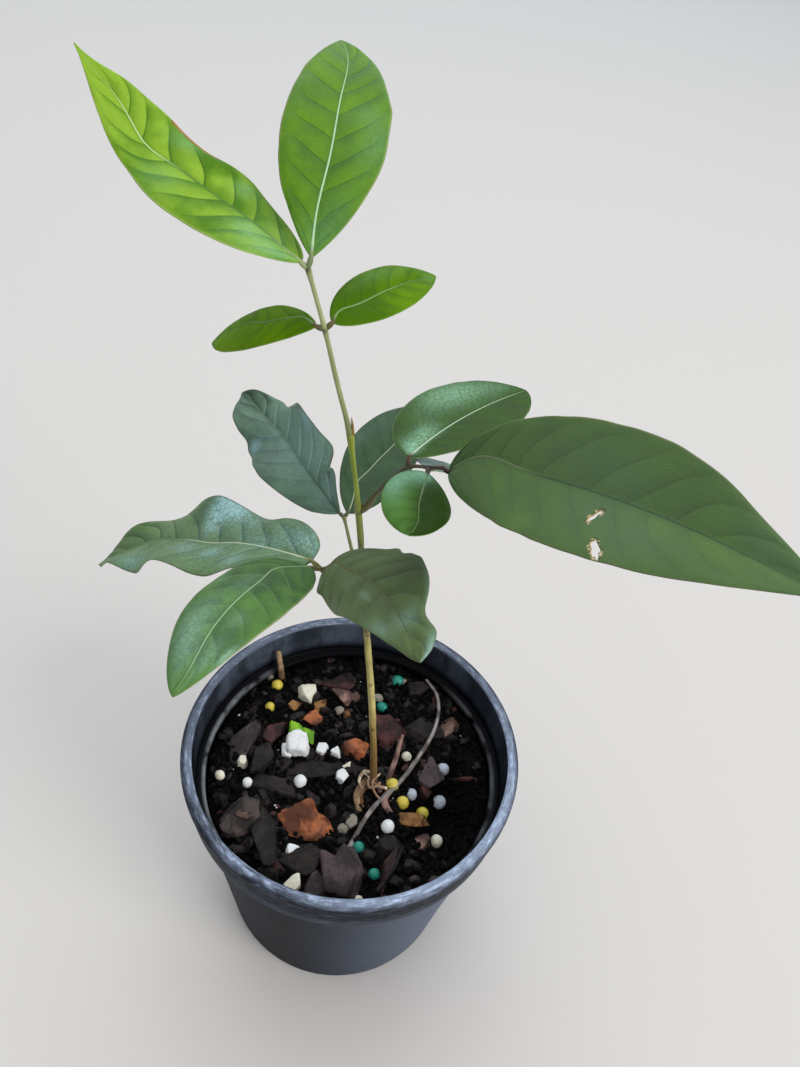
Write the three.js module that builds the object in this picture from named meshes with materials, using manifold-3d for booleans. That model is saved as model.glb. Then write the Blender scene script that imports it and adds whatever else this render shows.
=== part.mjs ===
// A young longan plant in a round black nursery pot.
// Millimetres, +Z up. The origin is the centre of the pot's flat underside,
// and the side that the plant is looked at from is -Y.
import * as THREE from 'three';
import Module from 'manifold-3d';
import { mergeVertices } from 'three/addons/utils/BufferGeometryUtils.js';

// Pot: a tapered wall under a collar that carries a rolled lip.
const POT_HEIGHT = 92;
const LIP_OUTER_RADIUS = 57.5;
const LIP_INNER_RADIUS = 53.4;
const LIP_DROP = 3.4;
const COLLAR_HEIGHT = 16;
const COLLAR_OUTER_RADIUS = 55.8;
const LEDGE_INNER_RADIUS = 50.3;
const WALL_TOP_RADIUS = 52.8;
const BASE_RADIUS = 43.6;
const BASE_CHAMFER = 1.6;
const WALL_THICKNESS = 1.6;
const FLOOR_THICKNESS = 2.4;
const POT_SIDES = 48;

// Potting soil fills the pot to below the collar.
const SOIL_TOP = 75;
const GAP = 0.3;

// Stem: it leans a little to the left as it rises from the soil. The front and back
// stalks leave it at one node, the right stalk above that, and the top one at its tip.
const STEM_FOOT = [8.9, -6.4, SOIL_TOP + GAP];
const STEM_NODE = [-2.5, -6.4, 174.5];
const STEM_TOP = [-9.3, -6.4, 223.6];
const STEM_PATH = [STEM_FOOT, [7.5, -6.2, 91.6], [4, -5.9, 124.7], [0.3, -6.2, 152.8],
  STEM_NODE, [-5.5, -6.6, 199.7], STEM_TOP];
const STEM_PROFILE = [[0, 1.6], [0.1, 1.3], [0.35, 1.1], [0.62, 0.9], [0.66, 1.15], [0.7, 0.85],
  [0.82, 0.8], [0.86, 1.05], [0.89, 0.7], [0.97, 0.68], [1, 1.0]];
const BUD_LENGTH = 4;
const BUD_RADIUS = 0.32;

// Forks: where leaflets join the stalk of their compound leaf.
const TOP_FORK = [-20.2, -6.4, 261.4];
const UPPER_FORK = [-16.3, -6.4, 248.8];
const RIGHT_FORK_1 = [4.5, -9.9, 218.8];
const RIGHT_FORK_2 = [9.1, -14.4, 223.1];
const RIGHT_FORK_3 = [11.9, -17.6, 225.8];
const BACK_FORK = [-10.2, 10.3, 183.8];
const FRONT_FORK = [-12.2, -23.8, 196.6];

// Stalks of the compound leaves: where each leaves the stem, and the bend on its way
// to its forks.
const TOP_BEND = [-13.2, -6.4, 237.1];
const RIGHT_FOOT = { place: [-5.8, -6.6, 202.2], direction: [1, 0, 0.3], distance: 2.0 };
const RIGHT_BEND = [-1.8, -6.7, 207.6];
const BACK_FOOT = { place: STEM_NODE, direction: [-0.5, 1, 0.6], distance: 2.35 };
const BACK_BEND = [-6.2, -0.6, 180.2];
const FRONT_FOOT = { place: STEM_NODE, direction: [-0.4, -1, 0.8], distance: 2.65 };
const FRONT_BEND = [-8, -16.6, 187.4];
const SLENDER_RADIUS = 0.45;
const TOP_STALK_RADIUS = 0.5;
const PULVINUS_RADIUS = 0.95;
const FORK_RADIUS = 0.65;

// Leaflets: lengths in millimetres, angles in degrees.
// heading turns from +X towards +Y, rise lifts the blade, arch bends it down from
// base to tip, sweep turns it sideways, roll and twist turn it about its midrib,
// fold lifts both halves into a V and cup curls the margins back down.
// base is the blade's foot as an offset from its fork, and clear is how far from
// the fork the leaflet's own short stalk begins.
// Each of swells is a stretch of margin that stands out from the even outline, or in
// where out is negative: at and reach are shares of the length, and side is 1 on the left.
const PLAIN_LEAF = {
  arch: 20, sweep: 0, roll: 0, twist: 0, fold: 12, cup: 0.06, widest: 0.47,
  baseTaper: 1.4, tipTaper: 1.5, skew: 0, waveHeight: 0, waveCount: 2.5,
  waveLeft: 0, waveRight: 0, clear: 1.25, swells: [], slits: [],
};
const LEAVES = {
  leaf_top_left: {
    fork: TOP_FORK, base: [-1.6, 0.1, 1.2], length: 64, width: 21,
    heading: 150, rise: 24, arch: -25, sweep: -8, roll: -9, twist: -27,
    fold: 8, cup: 0.09, widest: 0.38, baseTaper: 1.7, tipTaper: 2.2, skew: 0.04, clear: 1,
    swells: [{ at: 0.34, reach: 0.1, side: -1, out: 0.07 }, { at: 0.55, reach: 0.12, side: -1, out: -0.2 },
      { at: 0.86, reach: 0.08, side: -1, out: 0.35 }],
  },
  leaf_top_right: {
    fork: TOP_FORK, base: [0.6, 0, 2.7], length: 61, width: 22,
    heading: 92, rise: 26, arch: 35, sweep: 15, roll: -4,
    fold: 6, cup: 0.11, widest: 0.48, baseTaper: 1.9, clear: 0.9,
  },
  leaf_upper_left: {
    fork: UPPER_FORK, base: [-2.0, -0.3, 0.7], length: 34, width: 12.2,
    heading: 150, rise: -28, arch: 40, sweep: 8, roll: -25,
    fold: 4, cup: 0.2, widest: 0.52, baseTaper: 1.55, skew: 0.18, clear: 1.35,
  },
  leaf_upper_right: {
    fork: UPPER_FORK, base: [1.6, 0.6, 1.6], length: 33, width: 12,
    heading: 52, rise: 2, arch: 18, sweep: -10, roll: 22, fold: 8, cup: 0.08, clear: 1.5,
  },
  leaf_right_upper: {
    fork: RIGHT_FORK_1, base: [0.2, 1.5, 2.0], length: 67, width: 26,
    heading: 60, rise: -11, arch: 0, sweep: -17, twist: 7, fold: 13,
    baseTaper: 1.2, tipTaper: 1.4, clear: 1.4,
  },
  leaf_right_under: {
    fork: RIGHT_FORK_2, base: [1.0, 1.3, -1.5], length: 38, width: 15,
    heading: 72, rise: -34, arch: 6, fold: 6, clear: 1.5,
  },
  leaf_right_small: {
    fork: RIGHT_FORK_2, base: [-0.3, -2.6, 0.1], length: 33, width: 14,
    heading: -96, rise: 17, arch: 0, roll: -10, twist: 18, fold: 8, cup: 0.1,
    widest: 0.53, baseTaper: 1.3, tipTaper: 1.15, skew: -0.06, clear: 1.45,
  },
  leaf_right_large: {
    fork: RIGHT_FORK_3, base: [1.4, -2.3, 0.5], length: 84, width: 23.5,
    heading: -52, rise: 23, arch: 38, sweep: 16, roll: 52, twist: -35,
    fold: 18, widest: 0.54, baseTaper: 1.3, tipTaper: 2.2, clear: 0.55,
    swells: [{ at: 0.88, reach: 0.08, side: 1, out: -0.12 }],
    slits: [{ at: 0.57, across: -0.35, length: 3.6, width: 0.9, turn: 62 },
      { at: 0.62, across: -0.82, length: 4, width: 1.5, turn: -42 }],
  },
  leaf_back_left: {
    fork: BACK_FORK, base: [-1.4, 0.8, 0.6], length: 65, width: 23,
    heading: 126, rise: 0, arch: 7, roll: -36, twist: 30, fold: 21, cup: 0.02,
    baseTaper: 1.6, tipTaper: 1.75, waveHeight: 3.4, waveCount: 2.25,
    waveLeft: 0.35, waveRight: 0.1, clear: 0.8,
    swells: [{ at: 0.28, reach: 0.07, side: -1, out: 0.1 }],
  },
  leaf_back_right: {
    fork: BACK_FORK, base: [0.9, 1.2, 0.7], length: 55, width: 20,
    heading: 69, rise: 4, arch: 6, sweep: -22, roll: 19, twist: -12, fold: 17,
    tipTaper: 1.4, skew: -0.04, clear: 0.95,
  },
  leaf_front_wavy: {
    fork: FRONT_FORK, base: [-2.6, 0.7, 1.7], length: 78, width: 26.5,
    heading: 159, rise: -28, arch: 37, sweep: 10, roll: -4, twist: -9, fold: 13,
    widest: 0.39, baseTaper: 0.95, waveHeight: 2.4, waveCount: 2.8,
    waveLeft: 0.9, waveRight: -0.05,
    swells: [{ at: 0.2, reach: 0.13, side: -1, out: -0.2 }],
  },
  leaf_front_left: {
    fork: FRONT_FORK, base: [-2.5, -1.9, 2.2], length: 57, width: 18.5,
    heading: 251, rise: 16, arch: 50, sweep: 20, roll: 3, twist: 11, fold: 6,
    cup: 0.2, baseTaper: 1.65, swells: [{ at: 0.42, reach: 0.2, side: -1, out: -0.12 }],
  },
  leaf_front_right: {
    fork: FRONT_FORK, base: [1.0, -0.9, 1.4], length: 52, width: 20.5,
    heading: -62, rise: 24, arch: 45, sweep: -19, roll: 25, fold: 5, cup: 0.17,
    widest: 0.45, tipTaper: 1.85, skew: 0.08, waveHeight: 2, waveCount: 1.2,
    waveLeft: 0.4, waveRight: 0.4, clear: 1,
    swells: [{ at: 0.82, reach: 0.06, side: 1, out: -0.25 }, { at: 0.95, reach: 0.06, side: 1, out: 0.8 }],
  },
};
const LEAF_SIDES = 12;
const STALK_STEPS = 2;
const BLADE_STEPS = 16;
const MIDRIB_STEPS = 32;
const LEAFLET_STALK_RADIUS = 0.45;
const LEAF_TIP_RADIUS = 0.15;
const THICKNESS_PER_LENGTH = 0.011;
const LEAST_THICKNESS = 0.6;

// Grains and chips that lie on the soil: place on the soil, then size.
const PERLITE = [
  { at: [-20.1, 4.2], size: 9 }, { at: [-19.7, 29.2], size: 6.2 },
  { at: [-10.5, 6.2], size: 4.8 }, { at: [-16.7, -8.6], size: 4.8 },
  { at: [33.5, 6], size: 4.8 }, { at: [-13.4, -45], size: 5 },
];
const BARK_CHIPS = [
  { at: [-12, -23.5], size: [16, 10, 4], turn: 8, color: 0x8a4a28 },
  { at: [-33.5, -25.7], size: [13, 12, 5], turn: 30, color: 0x4a3634 },
  { at: [-38, 4.5], size: [6, 15, 3], turn: -25, color: 0x3b2c27 },
  { at: [0, -38.5], size: [13, 15, 5], turn: 40, color: 0x4f4241 },
  { at: [15, 20], size: [13, 11, 4], turn: 15, color: 0x40292a },
  { at: [-7.5, 34.5], size: [15, 7, 3], turn: 5, color: 0x3c2226 },
  { at: [20.5, -17.5], size: [13, 4, 2.5], turn: -5, color: 0x7a5228 },
];
const DRY_TWIG = [[14.2, -3.6, 76.6], [16.2, 4, 77.4], [17.4, 12, 80.6]];
const DRY_TWIG_RADIUS = 0.9;
const LEANING_STICK = [[-30.6, 35.4, 76.4], [-31.7, 37.3, 81.4], [-32.7, 39, 86.5]];
const LEANING_STICK_RADIUS = 1.1;
const DRY_NEEDLE = [[25.3, 41.3, 76.2], [31.4, 28, 76.5], [29.2, 14.6, 76.4], [22.7, 2, 76.2],
  [17.6, -5.6, 76.2], [12.5, -12.5, 76.2]];
const DRY_NEEDLE_RADIUS = 0.6;

const material = (color, roughness, metalness = 0) =>
  new THREE.MeshStandardMaterial({ color, roughness, metalness });
const potPlastic = material(0x24282d, 0.55);
const soilMix = material(0x16110f, 0.95);
const brownStem = material(0x7a6a34, 0.7);
const greenStalk = material(0x7f9a44, 0.55);
const redStalk = material(0x5a3a2c, 0.6);
const youngLeaf = material(0x6f9c2b, 0.45);
const darkLeaf = material(0x35572f, 0.4);
const perlite = material(0xe9e6dc, 0.9);
const dryWood = material(0x6a5040, 0.9);

const radians = THREE.MathUtils.degToRad;
const mix = THREE.MathUtils.lerp;
const vector = (coordinates) => new THREE.Vector3(...coordinates);

function mesh(name, geometry, surface) {
  const piece = new THREE.Mesh(geometry, surface);
  piece.name = name;
  return piece;
}

// A lathe turns about Y, so its piece is stood up to turn about Z.
function turned(name, profile, surface) {
  const outline = profile.map(([radius, height]) => new THREE.Vector2(radius, height));
  const piece = mesh(name, new THREE.LatheGeometry(outline, POT_SIDES), surface);
  piece.rotation.x = Math.PI / 2;
  return piece;
}

const collarFoot = POT_HEIGHT - COLLAR_HEIGHT;
const ledgeHeight = collarFoot + 0.8;
function innerWallRadius(height) {
  const share = (height - FLOOR_THICKNESS) / (ledgeHeight - FLOOR_THICKNESS);
  return mix(BASE_RADIUS - WALL_THICKNESS, LEDGE_INNER_RADIUS, share);
}

function pot() {
  const lipMiddle = (LIP_OUTER_RADIUS + LIP_INNER_RADIUS) / 2;
  const lipRound = (LIP_OUTER_RADIUS - LIP_INNER_RADIUS) / 4;
  const profile = [
    [0, 0],
    [BASE_RADIUS - BASE_CHAMFER, 0],
    [BASE_RADIUS, BASE_CHAMFER],
    [WALL_TOP_RADIUS, collarFoot - 1],
    [COLLAR_OUTER_RADIUS - 0.6, collarFoot],
    [COLLAR_OUTER_RADIUS, collarFoot + 0.8],
    [LIP_OUTER_RADIUS - 0.8, POT_HEIGHT - LIP_DROP - 0.6],
    [LIP_OUTER_RADIUS, POT_HEIGHT - LIP_DROP / 2],
    [lipMiddle + lipRound, POT_HEIGHT - 0.35],
    [lipMiddle, POT_HEIGHT],
    [lipMiddle - lipRound, POT_HEIGHT - 0.3],
    [LIP_INNER_RADIUS, POT_HEIGHT - LIP_DROP / 2],
    [LIP_INNER_RADIUS - 0.3, ledgeHeight + 0.8],
    [LEDGE_INNER_RADIUS, ledgeHeight],
    [innerWallRadius(FLOOR_THICKNESS), FLOOR_THICKNESS],
    [0, FLOOR_THICKNESS],
  ];
  return turned('pot', profile, potPlastic);
}

function soil() {
  const foot = FLOOR_THICKNESS + GAP;
  const profile = [
    [0, foot],
    [innerWallRadius(foot) - GAP, foot],
    [innerWallRadius(SOIL_TOP) - GAP, SOIL_TOP],
    [0, SOIL_TOP],
  ];
  return turned('potting_soil', profile, soilMix);
}

// The radius at a share of a limb's length, from [share, radius] pairs.
function radiusAt(profile, share) {
  const next = Math.max(1, profile.findIndex(([place]) => place >= share - 1e-6));
  const [start, startRadius] = profile[next - 1];
  const [end, endRadius] = profile[next];
  return mix(startRadius, endRadius, (share - start) / (end - start));
}

// A limb is a cylinder bent along a smooth path: each vertex keeps its angle,
// and its height picks the place on the path and the radius there.
// A level limb has every ring horizontal, so its foot is a flat cut.
function limb(name, points, profile, surface, { sides = 8, steps = 12, level = false } = {}) {
  const path = new THREE.CatmullRomCurve3(points.map(vector));
  const frames = path.computeFrenetFrames(steps);
  const geometry = new THREE.CylinderGeometry(1, 1, 1, sides, steps);
  const position = geometry.getAttribute('position');
  for (let i = 0; i < position.count; i++) {
    const share = position.getY(i) + 0.5;
    const row = Math.round(share * steps);
    const radius = radiusAt(profile, share);
    const across = level ? new THREE.Vector3(1, 0, 0) : frames.binormals[row];
    const over = level ? new THREE.Vector3(0, -1, 0) : frames.normals[row];
    const point = path.getPointAt(share)
      .addScaledVector(across, position.getX(i) * radius)
      .addScaledVector(over, position.getZ(i) * radius);
    position.setXYZ(i, point.x, point.y, point.z);
  }
  return mesh(name, geometry, surface);
}

// The blade's axes at a share u of its length, in the leaf's own frame, where the
// heading is +X: along the midrib, to the right, and up out of the upper face.
function bladeAxes(leaf, u) {
  const turn = radians(leaf.sweep * (u - 0.5));
  const climb = radians(leaf.rise - leaf.arch * (u - 0.5));
  const roll = radians(leaf.roll + leaf.twist * (u - 0.5));
  const along = new THREE.Vector3(
    Math.cos(turn) * Math.cos(climb), Math.sin(turn) * Math.cos(climb), Math.sin(climb));
  const right = new THREE.Vector3(Math.sin(turn), -Math.cos(turn), 0);
  const up = new THREE.Vector3().crossVectors(right, along);
  right.applyAxisAngle(along, roll);
  up.applyAxisAngle(along, roll);
  return { along, right, up };
}

function midrib(leaf) {
  const points = [new THREE.Vector3()];
  for (let i = 0; i < MIDRIB_STEPS; i++) {
    const { along } = bladeAxes(leaf, (i + 0.5) / MIDRIB_STEPS);
    points.push(points[i].clone().addScaledVector(along, leaf.length / MIDRIB_STEPS));
  }
  return new THREE.CatmullRomCurve3(points);
}

// Half the blade's width at u: widest at one place and tapering to both ends.
function halfWidth(leaf, u) {
  const within = THREE.MathUtils.clamp(u, 0, 1);
  const shape = (within / leaf.widest) ** leaf.widest
    * ((1 - within) / (1 - leaf.widest)) ** (1 - leaf.widest);
  const taper = u < leaf.widest ? leaf.baseTaper : leaf.tipTaper;
  return 0.5 * leaf.width * shape ** taper;
}

// How much wider or narrower its swells make the blade at a place: each dies away
// on both sides as a bell curve.
function swelling(leaf, u, v) {
  let share = 1;
  for (const { at, reach, side, out } of leaf.swells) {
    share += side * v > 0 ? out * Math.exp(-(((u - at) / reach) ** 2)) : 0;
  }
  return share;
}

// A point of the blade's middle surface: u along it, v from -1 at the right margin
// to 1 at the left one.
function bladePoint(leaf, rib, u, v, extraWidth = 0) {
  const { along, right, up } = bladeAxes(leaf, u);
  const half = halfWidth(leaf, u) * (1 + Math.sign(v) * leaf.skew) * swelling(leaf, u, v)
    + extraWidth;
  const phase = v > 0 ? leaf.waveLeft : leaf.waveRight;
  const wave = leaf.waveHeight * v * v * Math.sin(2 * Math.PI * (leaf.waveCount * u + phase))
    * Math.sqrt(Math.max(0, Math.sin(Math.PI * u)));
  const fold = radians(leaf.fold);
  const lift = half * (Math.abs(v) * Math.sin(fold) - leaf.cup * v * v) + wave;
  const point = rib.getPoint(u)
    .addScaledVector(right, -v * half * Math.cos(fold))
    .addScaledVector(up, lift);
  return { point, along, right, up };
}

// A leaflet is a cylinder drawn out: its first rings are the round stalk, and the
// later ones flatten into the blade, whose underside keeps a midrib.
function leaflet(name, settings, surface) {
  const leaf = { ...PLAIN_LEAF, ...settings };
  const rib = midrib(leaf);
  const thickness = Math.max(LEAST_THICKNESS, THICKNESS_PER_LENGTH * leaf.length);
  const rows = STALK_STEPS + BLADE_STEPS;
  const towardsFork = vector(leaf.base).negate()
    .applyAxisAngle(new THREE.Vector3(0, 0, 1), -radians(leaf.heading));
  towardsFork.setLength(towardsFork.length() - leaf.clear);
  const geometry = new THREE.CylinderGeometry(1, 1, 1, LEAF_SIDES, rows);
  const position = geometry.getAttribute('position');
  for (let i = 0; i < position.count; i++) {
    const [x, z] = [position.getX(i), position.getZ(i)];
    const row = Math.round((position.getY(i) + 0.5) * rows);
    const u = Math.max(0, row - STALK_STEPS) / BLADE_STEPS;
    const flat = row > STALK_STEPS ? 1 : 0;
    const edge = mix(LEAFLET_STALK_RADIUS, LEAF_TIP_RADIUS, u);
    const middle = Math.abs(x) < 0.01;
    const upper = 0.5 * thickness * mix(1, 0.5, u);
    const height = z > 0.01 ? upper : z < -0.01 ? -(middle ? Math.max(edge, upper) : upper) : 0;
    const { point, right, up } = bladePoint(leaf, rib, u, -flat * x, flat * edge);
    point.addScaledVector(up, flat ? height : z * edge);
    if (!flat) {
      const back = 1 - row / STALK_STEPS;
      point.addScaledVector(right, x * edge).addScaledVector(towardsFork, back);
    }
    position.setXYZ(i, point.x, point.y, point.z);
  }
  const slits = leaf.slits.map((slit) => slitCutter(leaf, rib, slit));
  const piece = mesh(name, cut(geometry, slits), surface);
  piece.position.copy(vector(leaf.fork).add(vector(leaf.base)));
  piece.rotation.z = radians(leaf.heading);
  return piece;
}

// A slit torn through a blade, as a flat oval that passes through it.
function slitCutter(leaf, rib, slit) {
  const { point, along, right, up } = bladePoint(leaf, rib, slit.at, slit.across);
  const geometry = new THREE.CylinderGeometry(0.5, 0.5, 6, 8);
  geometry.scale(slit.length, 1, slit.width);
  geometry.rotateY(radians(slit.turn));
  geometry.applyMatrix4(new THREE.Matrix4().makeBasis(along, up, right));
  return geometry.translate(point.x, point.y, point.z);
}

const wasm = await Module();
wasm.setup();

function solid(geometry) {
  const bare = geometry.clone();
  bare.deleteAttribute('normal');
  bare.deleteAttribute('uv');
  const merged = mergeVertices(bare, 1e-3);
  return new wasm.Manifold(new wasm.Mesh({
    numProp: 3,
    vertProperties: new Float32Array(merged.getAttribute('position').array),
    triVerts: new Uint32Array(merged.getIndex().array),
  }));
}

function cut(geometry, cutters) {
  if (cutters.length === 0) {
    return geometry;
  }
  let body = solid(geometry);
  for (const cutter of cutters) {
    body = body.subtract(solid(cutter));
  }
  const result = body.getMesh();
  const cutGeometry = new THREE.BufferGeometry();
  cutGeometry.setAttribute('position', new THREE.BufferAttribute(result.vertProperties, 3));
  cutGeometry.setIndex(new THREE.BufferAttribute(result.triVerts, 1));
  return cutGeometry;
}

// Sets a piece down on the soil at a place, with its lowest point just clear of it.
function laidOnSoil(piece, [x, y]) {
  piece.geometry.computeBoundingBox();
  piece.position.set(x, y, SOIL_TOP + GAP - piece.geometry.boundingBox.min.z);
  return piece;
}

function perliteGrain({ at, size }, index) {
  const geometry = new THREE.IcosahedronGeometry(size / 2, 1);
  geometry.rotateZ(index);
  geometry.scale(1, 0.86, 0.78);
  return laidOnSoil(mesh(`perlite_${index + 1}`, geometry, perlite), at);
}

function barkChip({ at, size, turn, color }, index) {
  const [length, width, thickness] = size;
  const corners = [[0.5, -0.1], [0.34, 0.42], [-0.08, 0.5], [-0.42, 0.3], [-0.5, -0.2], [-0.2, -0.5],
    [0.3, -0.42]];
  const shape = new THREE.Shape(
    corners.map(([x, y]) => new THREE.Vector2(x * length, y * width)));
  const geometry = new THREE.ExtrudeGeometry(shape, { depth: thickness, bevelEnabled: false });
  geometry.rotateZ(radians(turn));
  return laidOnSoil(mesh(`bark_chip_${index + 1}`, geometry, material(color, 0.9)), at);
}

// A point a little way from the stem's middle along a direction.
function besideStem({ place, direction, distance }) {
  return vector(place).addScaledVector(vector(direction).normalize(), distance).toArray();
}

// A slender stalk is swollen where it leaves the stem, and a little at its fork.
const stalkProfile = (foot, slender, end) =>
  [[0, foot], [0.12, slender], [0.88, slender], [1, end]];

function budAndStalks() {
  const [topX, topY, topZ] = STEM_TOP;
  const budFoot = [topX + 0.68, topY, topZ + GAP];
  const budTip = [topX, topY, budFoot[2] + BUD_LENGTH];
  const topFoot = [topX - 0.48, topY, topZ + 1.5 * GAP];
  return [
    limb('stem_bud', [budFoot, budTip], [[0, BUD_RADIUS], [0.5, BUD_RADIUS * 0.8], [1, 0.15]],
      redStalk, { steps: 4, level: true }),
    limb('stalk_top', [topFoot, TOP_BEND, UPPER_FORK, TOP_FORK],
      stalkProfile(TOP_STALK_RADIUS, SLENDER_RADIUS, FORK_RADIUS), greenStalk, { steps: 16 }),
    limb('stalk_right',
      [besideStem(RIGHT_FOOT), RIGHT_BEND, RIGHT_FORK_1, RIGHT_FORK_2, RIGHT_FORK_3],
      stalkProfile(PULVINUS_RADIUS, SLENDER_RADIUS, FORK_RADIUS), redStalk, { steps: 16 }),
    limb('stalk_back', [besideStem(BACK_FOOT), BACK_BEND, BACK_FORK],
      stalkProfile(PULVINUS_RADIUS, SLENDER_RADIUS, FORK_RADIUS), greenStalk),
    limb('stalk_front', [besideStem(FRONT_FOOT), FRONT_BEND, FRONT_FORK],
      stalkProfile(PULVINUS_RADIUS, SLENDER_RADIUS, FORK_RADIUS), redStalk),
  ];
}

const plant = new THREE.Group();
plant.add(
  limb('stem', STEM_PATH, STEM_PROFILE, brownStem, { sides: 10, steps: 28, level: true }),
  ...budAndStalks(),
);
for (const [name, settings] of Object.entries(LEAVES)) {
  const young = name.startsWith('leaf_top') || name.startsWith('leaf_upper');
  plant.add(leaflet(name, settings, young ? youngLeaf : darkLeaf));
}

const filledPot = new THREE.Group();
filledPot.add(pot(), soil(), ...PERLITE.map(perliteGrain), ...BARK_CHIPS.map(barkChip));
filledPot.add(
  limb('dry_twig', DRY_TWIG, [[0, DRY_TWIG_RADIUS], [1, DRY_TWIG_RADIUS * 0.6]], dryWood,
    { sides: 6, steps: 4 }),
  limb('leaning_stick', LEANING_STICK,
    [[0, LEANING_STICK_RADIUS], [1, LEANING_STICK_RADIUS * 0.8]], dryWood,
    { sides: 6, steps: 4 }),
  limb('dry_needle', DRY_NEEDLE, [[0, DRY_NEEDLE_RADIUS], [1, DRY_NEEDLE_RADIUS * 0.8]], dryWood,
    { sides: 6, steps: 20 }),
);

const pottedLongan = new THREE.Group();
pottedLongan.add(filledPot, plant);

export default pottedLongan;
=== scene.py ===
import bpy
import numpy as np
from mathutils import Matrix, Vector


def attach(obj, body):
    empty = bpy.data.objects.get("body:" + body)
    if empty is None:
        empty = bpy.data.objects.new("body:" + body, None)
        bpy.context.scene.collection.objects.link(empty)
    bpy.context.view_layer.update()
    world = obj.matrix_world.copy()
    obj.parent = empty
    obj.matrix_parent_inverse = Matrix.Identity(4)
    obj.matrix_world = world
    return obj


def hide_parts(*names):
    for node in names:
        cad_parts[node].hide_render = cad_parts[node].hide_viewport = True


mm = 0.001
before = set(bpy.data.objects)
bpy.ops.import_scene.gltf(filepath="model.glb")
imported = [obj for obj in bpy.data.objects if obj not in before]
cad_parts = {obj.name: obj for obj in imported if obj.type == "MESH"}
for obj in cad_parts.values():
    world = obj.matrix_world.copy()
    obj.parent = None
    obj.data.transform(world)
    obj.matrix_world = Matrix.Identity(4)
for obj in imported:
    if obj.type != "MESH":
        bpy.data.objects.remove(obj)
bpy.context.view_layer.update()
print("frame loaded:", len(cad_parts), "nodes")


def addObject(name, data):
    thing = bpy.data.objects.new(name, data)
    bpy.context.scene.collection.objects.link(thing)
    return thing


def addMesh(name, points, faces, materials):
    # the points are in millimetres
    mesh = bpy.data.meshes.new(name)
    mesh.from_pydata(points * mm, [], faces)
    for material in materials:
        mesh.materials.append(material)
    return addObject(name, mesh)


# Camera, light and floor

cameraView = {
    "place": (0.0, -156.5, 329.9),
    "yaw": 1.98,            # from +Y towards +X
    "down": 41.86,
    "roll": -8.39,
    "focalPixels": 801.0,
    "longSide": 1067,       # of the picture, in pixels
    "sensor": 36.0,
    "nearest": 10,          # nothing nearer than this is drawn
}


def addCamera(view):
    # forward from yaw and downward pitch, then the level axes turned by the roll about forward
    yaw, down, roll = np.radians([view["yaw"], view["down"], view["roll"]])
    forward = Vector((np.sin(yaw) * np.cos(down), np.cos(yaw) * np.cos(down), -np.sin(down)))
    level = Vector((np.cos(yaw), -np.sin(yaw), 0.0))
    below = forward.cross(level)
    right = level * np.cos(roll) + below * np.sin(roll)
    up = level * np.sin(roll) - below * np.cos(roll)
    data = bpy.data.cameras.new("camera")
    data.sensor_width = view["sensor"]
    data.lens = view["sensor"] * view["focalPixels"] / view["longSide"]
    data.clip_start = view["nearest"] * mm
    camera = addObject("camera", data)
    turned = Matrix((right, up, -forward)).transposed().to_4x4()
    camera.matrix_world = Matrix.Translation(Vector(view["place"]) * mm) @ turned
    bpy.context.scene.camera = camera


softboxes = {
    # a wide cool panel behind the plant gives the sheen on the leaves and the lip, over the
    # painted sheen and painted highlight in their colors
    "backPanel": {"place": (-300, 3600, 2600), "size": (5200, 2600), "watts": 70,
                  "tint": (0.84, 0.93, 1.0)},
    "topPanel": {"place": (-200, 150, 2600), "size": (2200, 2200), "watts": 28, "tint": (1.0, 0.99, 0.96)},
    "frontPanel": {"place": (2300, -1350, 1300), "size": (1500, 1500), "watts": 52,
                   "tint": (1.0, 0.97, 0.93)},
}
lightTarget = (0, 0, 130)
surround = {"tint": (0.93, 0.96, 1.0), "strength": 0.5}
floorSettings = {"size": 14000, "color": (0.62, 0.60, 0.585), "roughness": 0.75}


def addLights():
    for name, box in softboxes.items():
        data = bpy.data.lights.new(name, "AREA")
        data.shape = "RECTANGLE"
        data.size, data.size_y = np.array(box["size"]) * mm
        data.energy = box["watts"]
        data.color = box["tint"]
        light = addObject(name, data)
        light.location = Vector(box["place"]) * mm
        aim = Vector(lightTarget) - Vector(box["place"])
        light.rotation_euler = aim.to_track_quat("-Z", "Y").to_euler()
        light.visible_camera = False
    world = bpy.data.worlds.new("studio")
    world.use_nodes = True
    sky = world.node_tree.nodes["Background"]
    sky.inputs["Color"].default_value = (*surround["tint"], 1)
    sky.inputs["Strength"].default_value = surround["strength"]
    bpy.context.scene.world = world
    bpy.context.scene.view_settings.view_transform = "Standard"


# Node helpers: each adds one or a few shader nodes and gives back an output socket

def setInputs(tree, sockets, values):
    # a value is another node's output, a number, a vector, or a color as red, green and blue
    for name, value in values.items():
        socket = sockets[name]
        if isinstance(value, bpy.types.NodeSocket):
            tree.links.new(value, socket)
        elif socket.type == "RGBA":
            socket.default_value = (*value, 1.0)
        else:
            socket.default_value = value


def addNode(tree, kind, inputs, output=0, **settings):
    node = tree.nodes.new("ShaderNode" + kind)
    for name, value in settings.items():
        setattr(node, name, value)
    setInputs(tree, node.inputs, inputs)
    return node.outputs[output]


def calc(tree, operation, *values):
    return addNode(tree, "Math", dict(enumerate(values)), operation=operation)


def times(tree, product, *factors):
    for factor in factors:
        product = calc(tree, "MULTIPLY", product, factor)
    return product


def scaled(tree, value, factor, offset):
    # value * factor + offset
    return calc(tree, "MULTIPLY_ADD", value, factor, offset)


def mixColor(tree, share, first, second):
    return addNode(tree, "Mix", {0: share, 6: first, 7: second}, 2, data_type="RGBA")


def smoothStep(tree, value, start, end, low=0.0, high=1.0):
    return addNode(tree, "MapRange", {0: value, 1: start, 2: end, 3: low, 4: high},
                   interpolation_type="SMOOTHSTEP")


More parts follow.
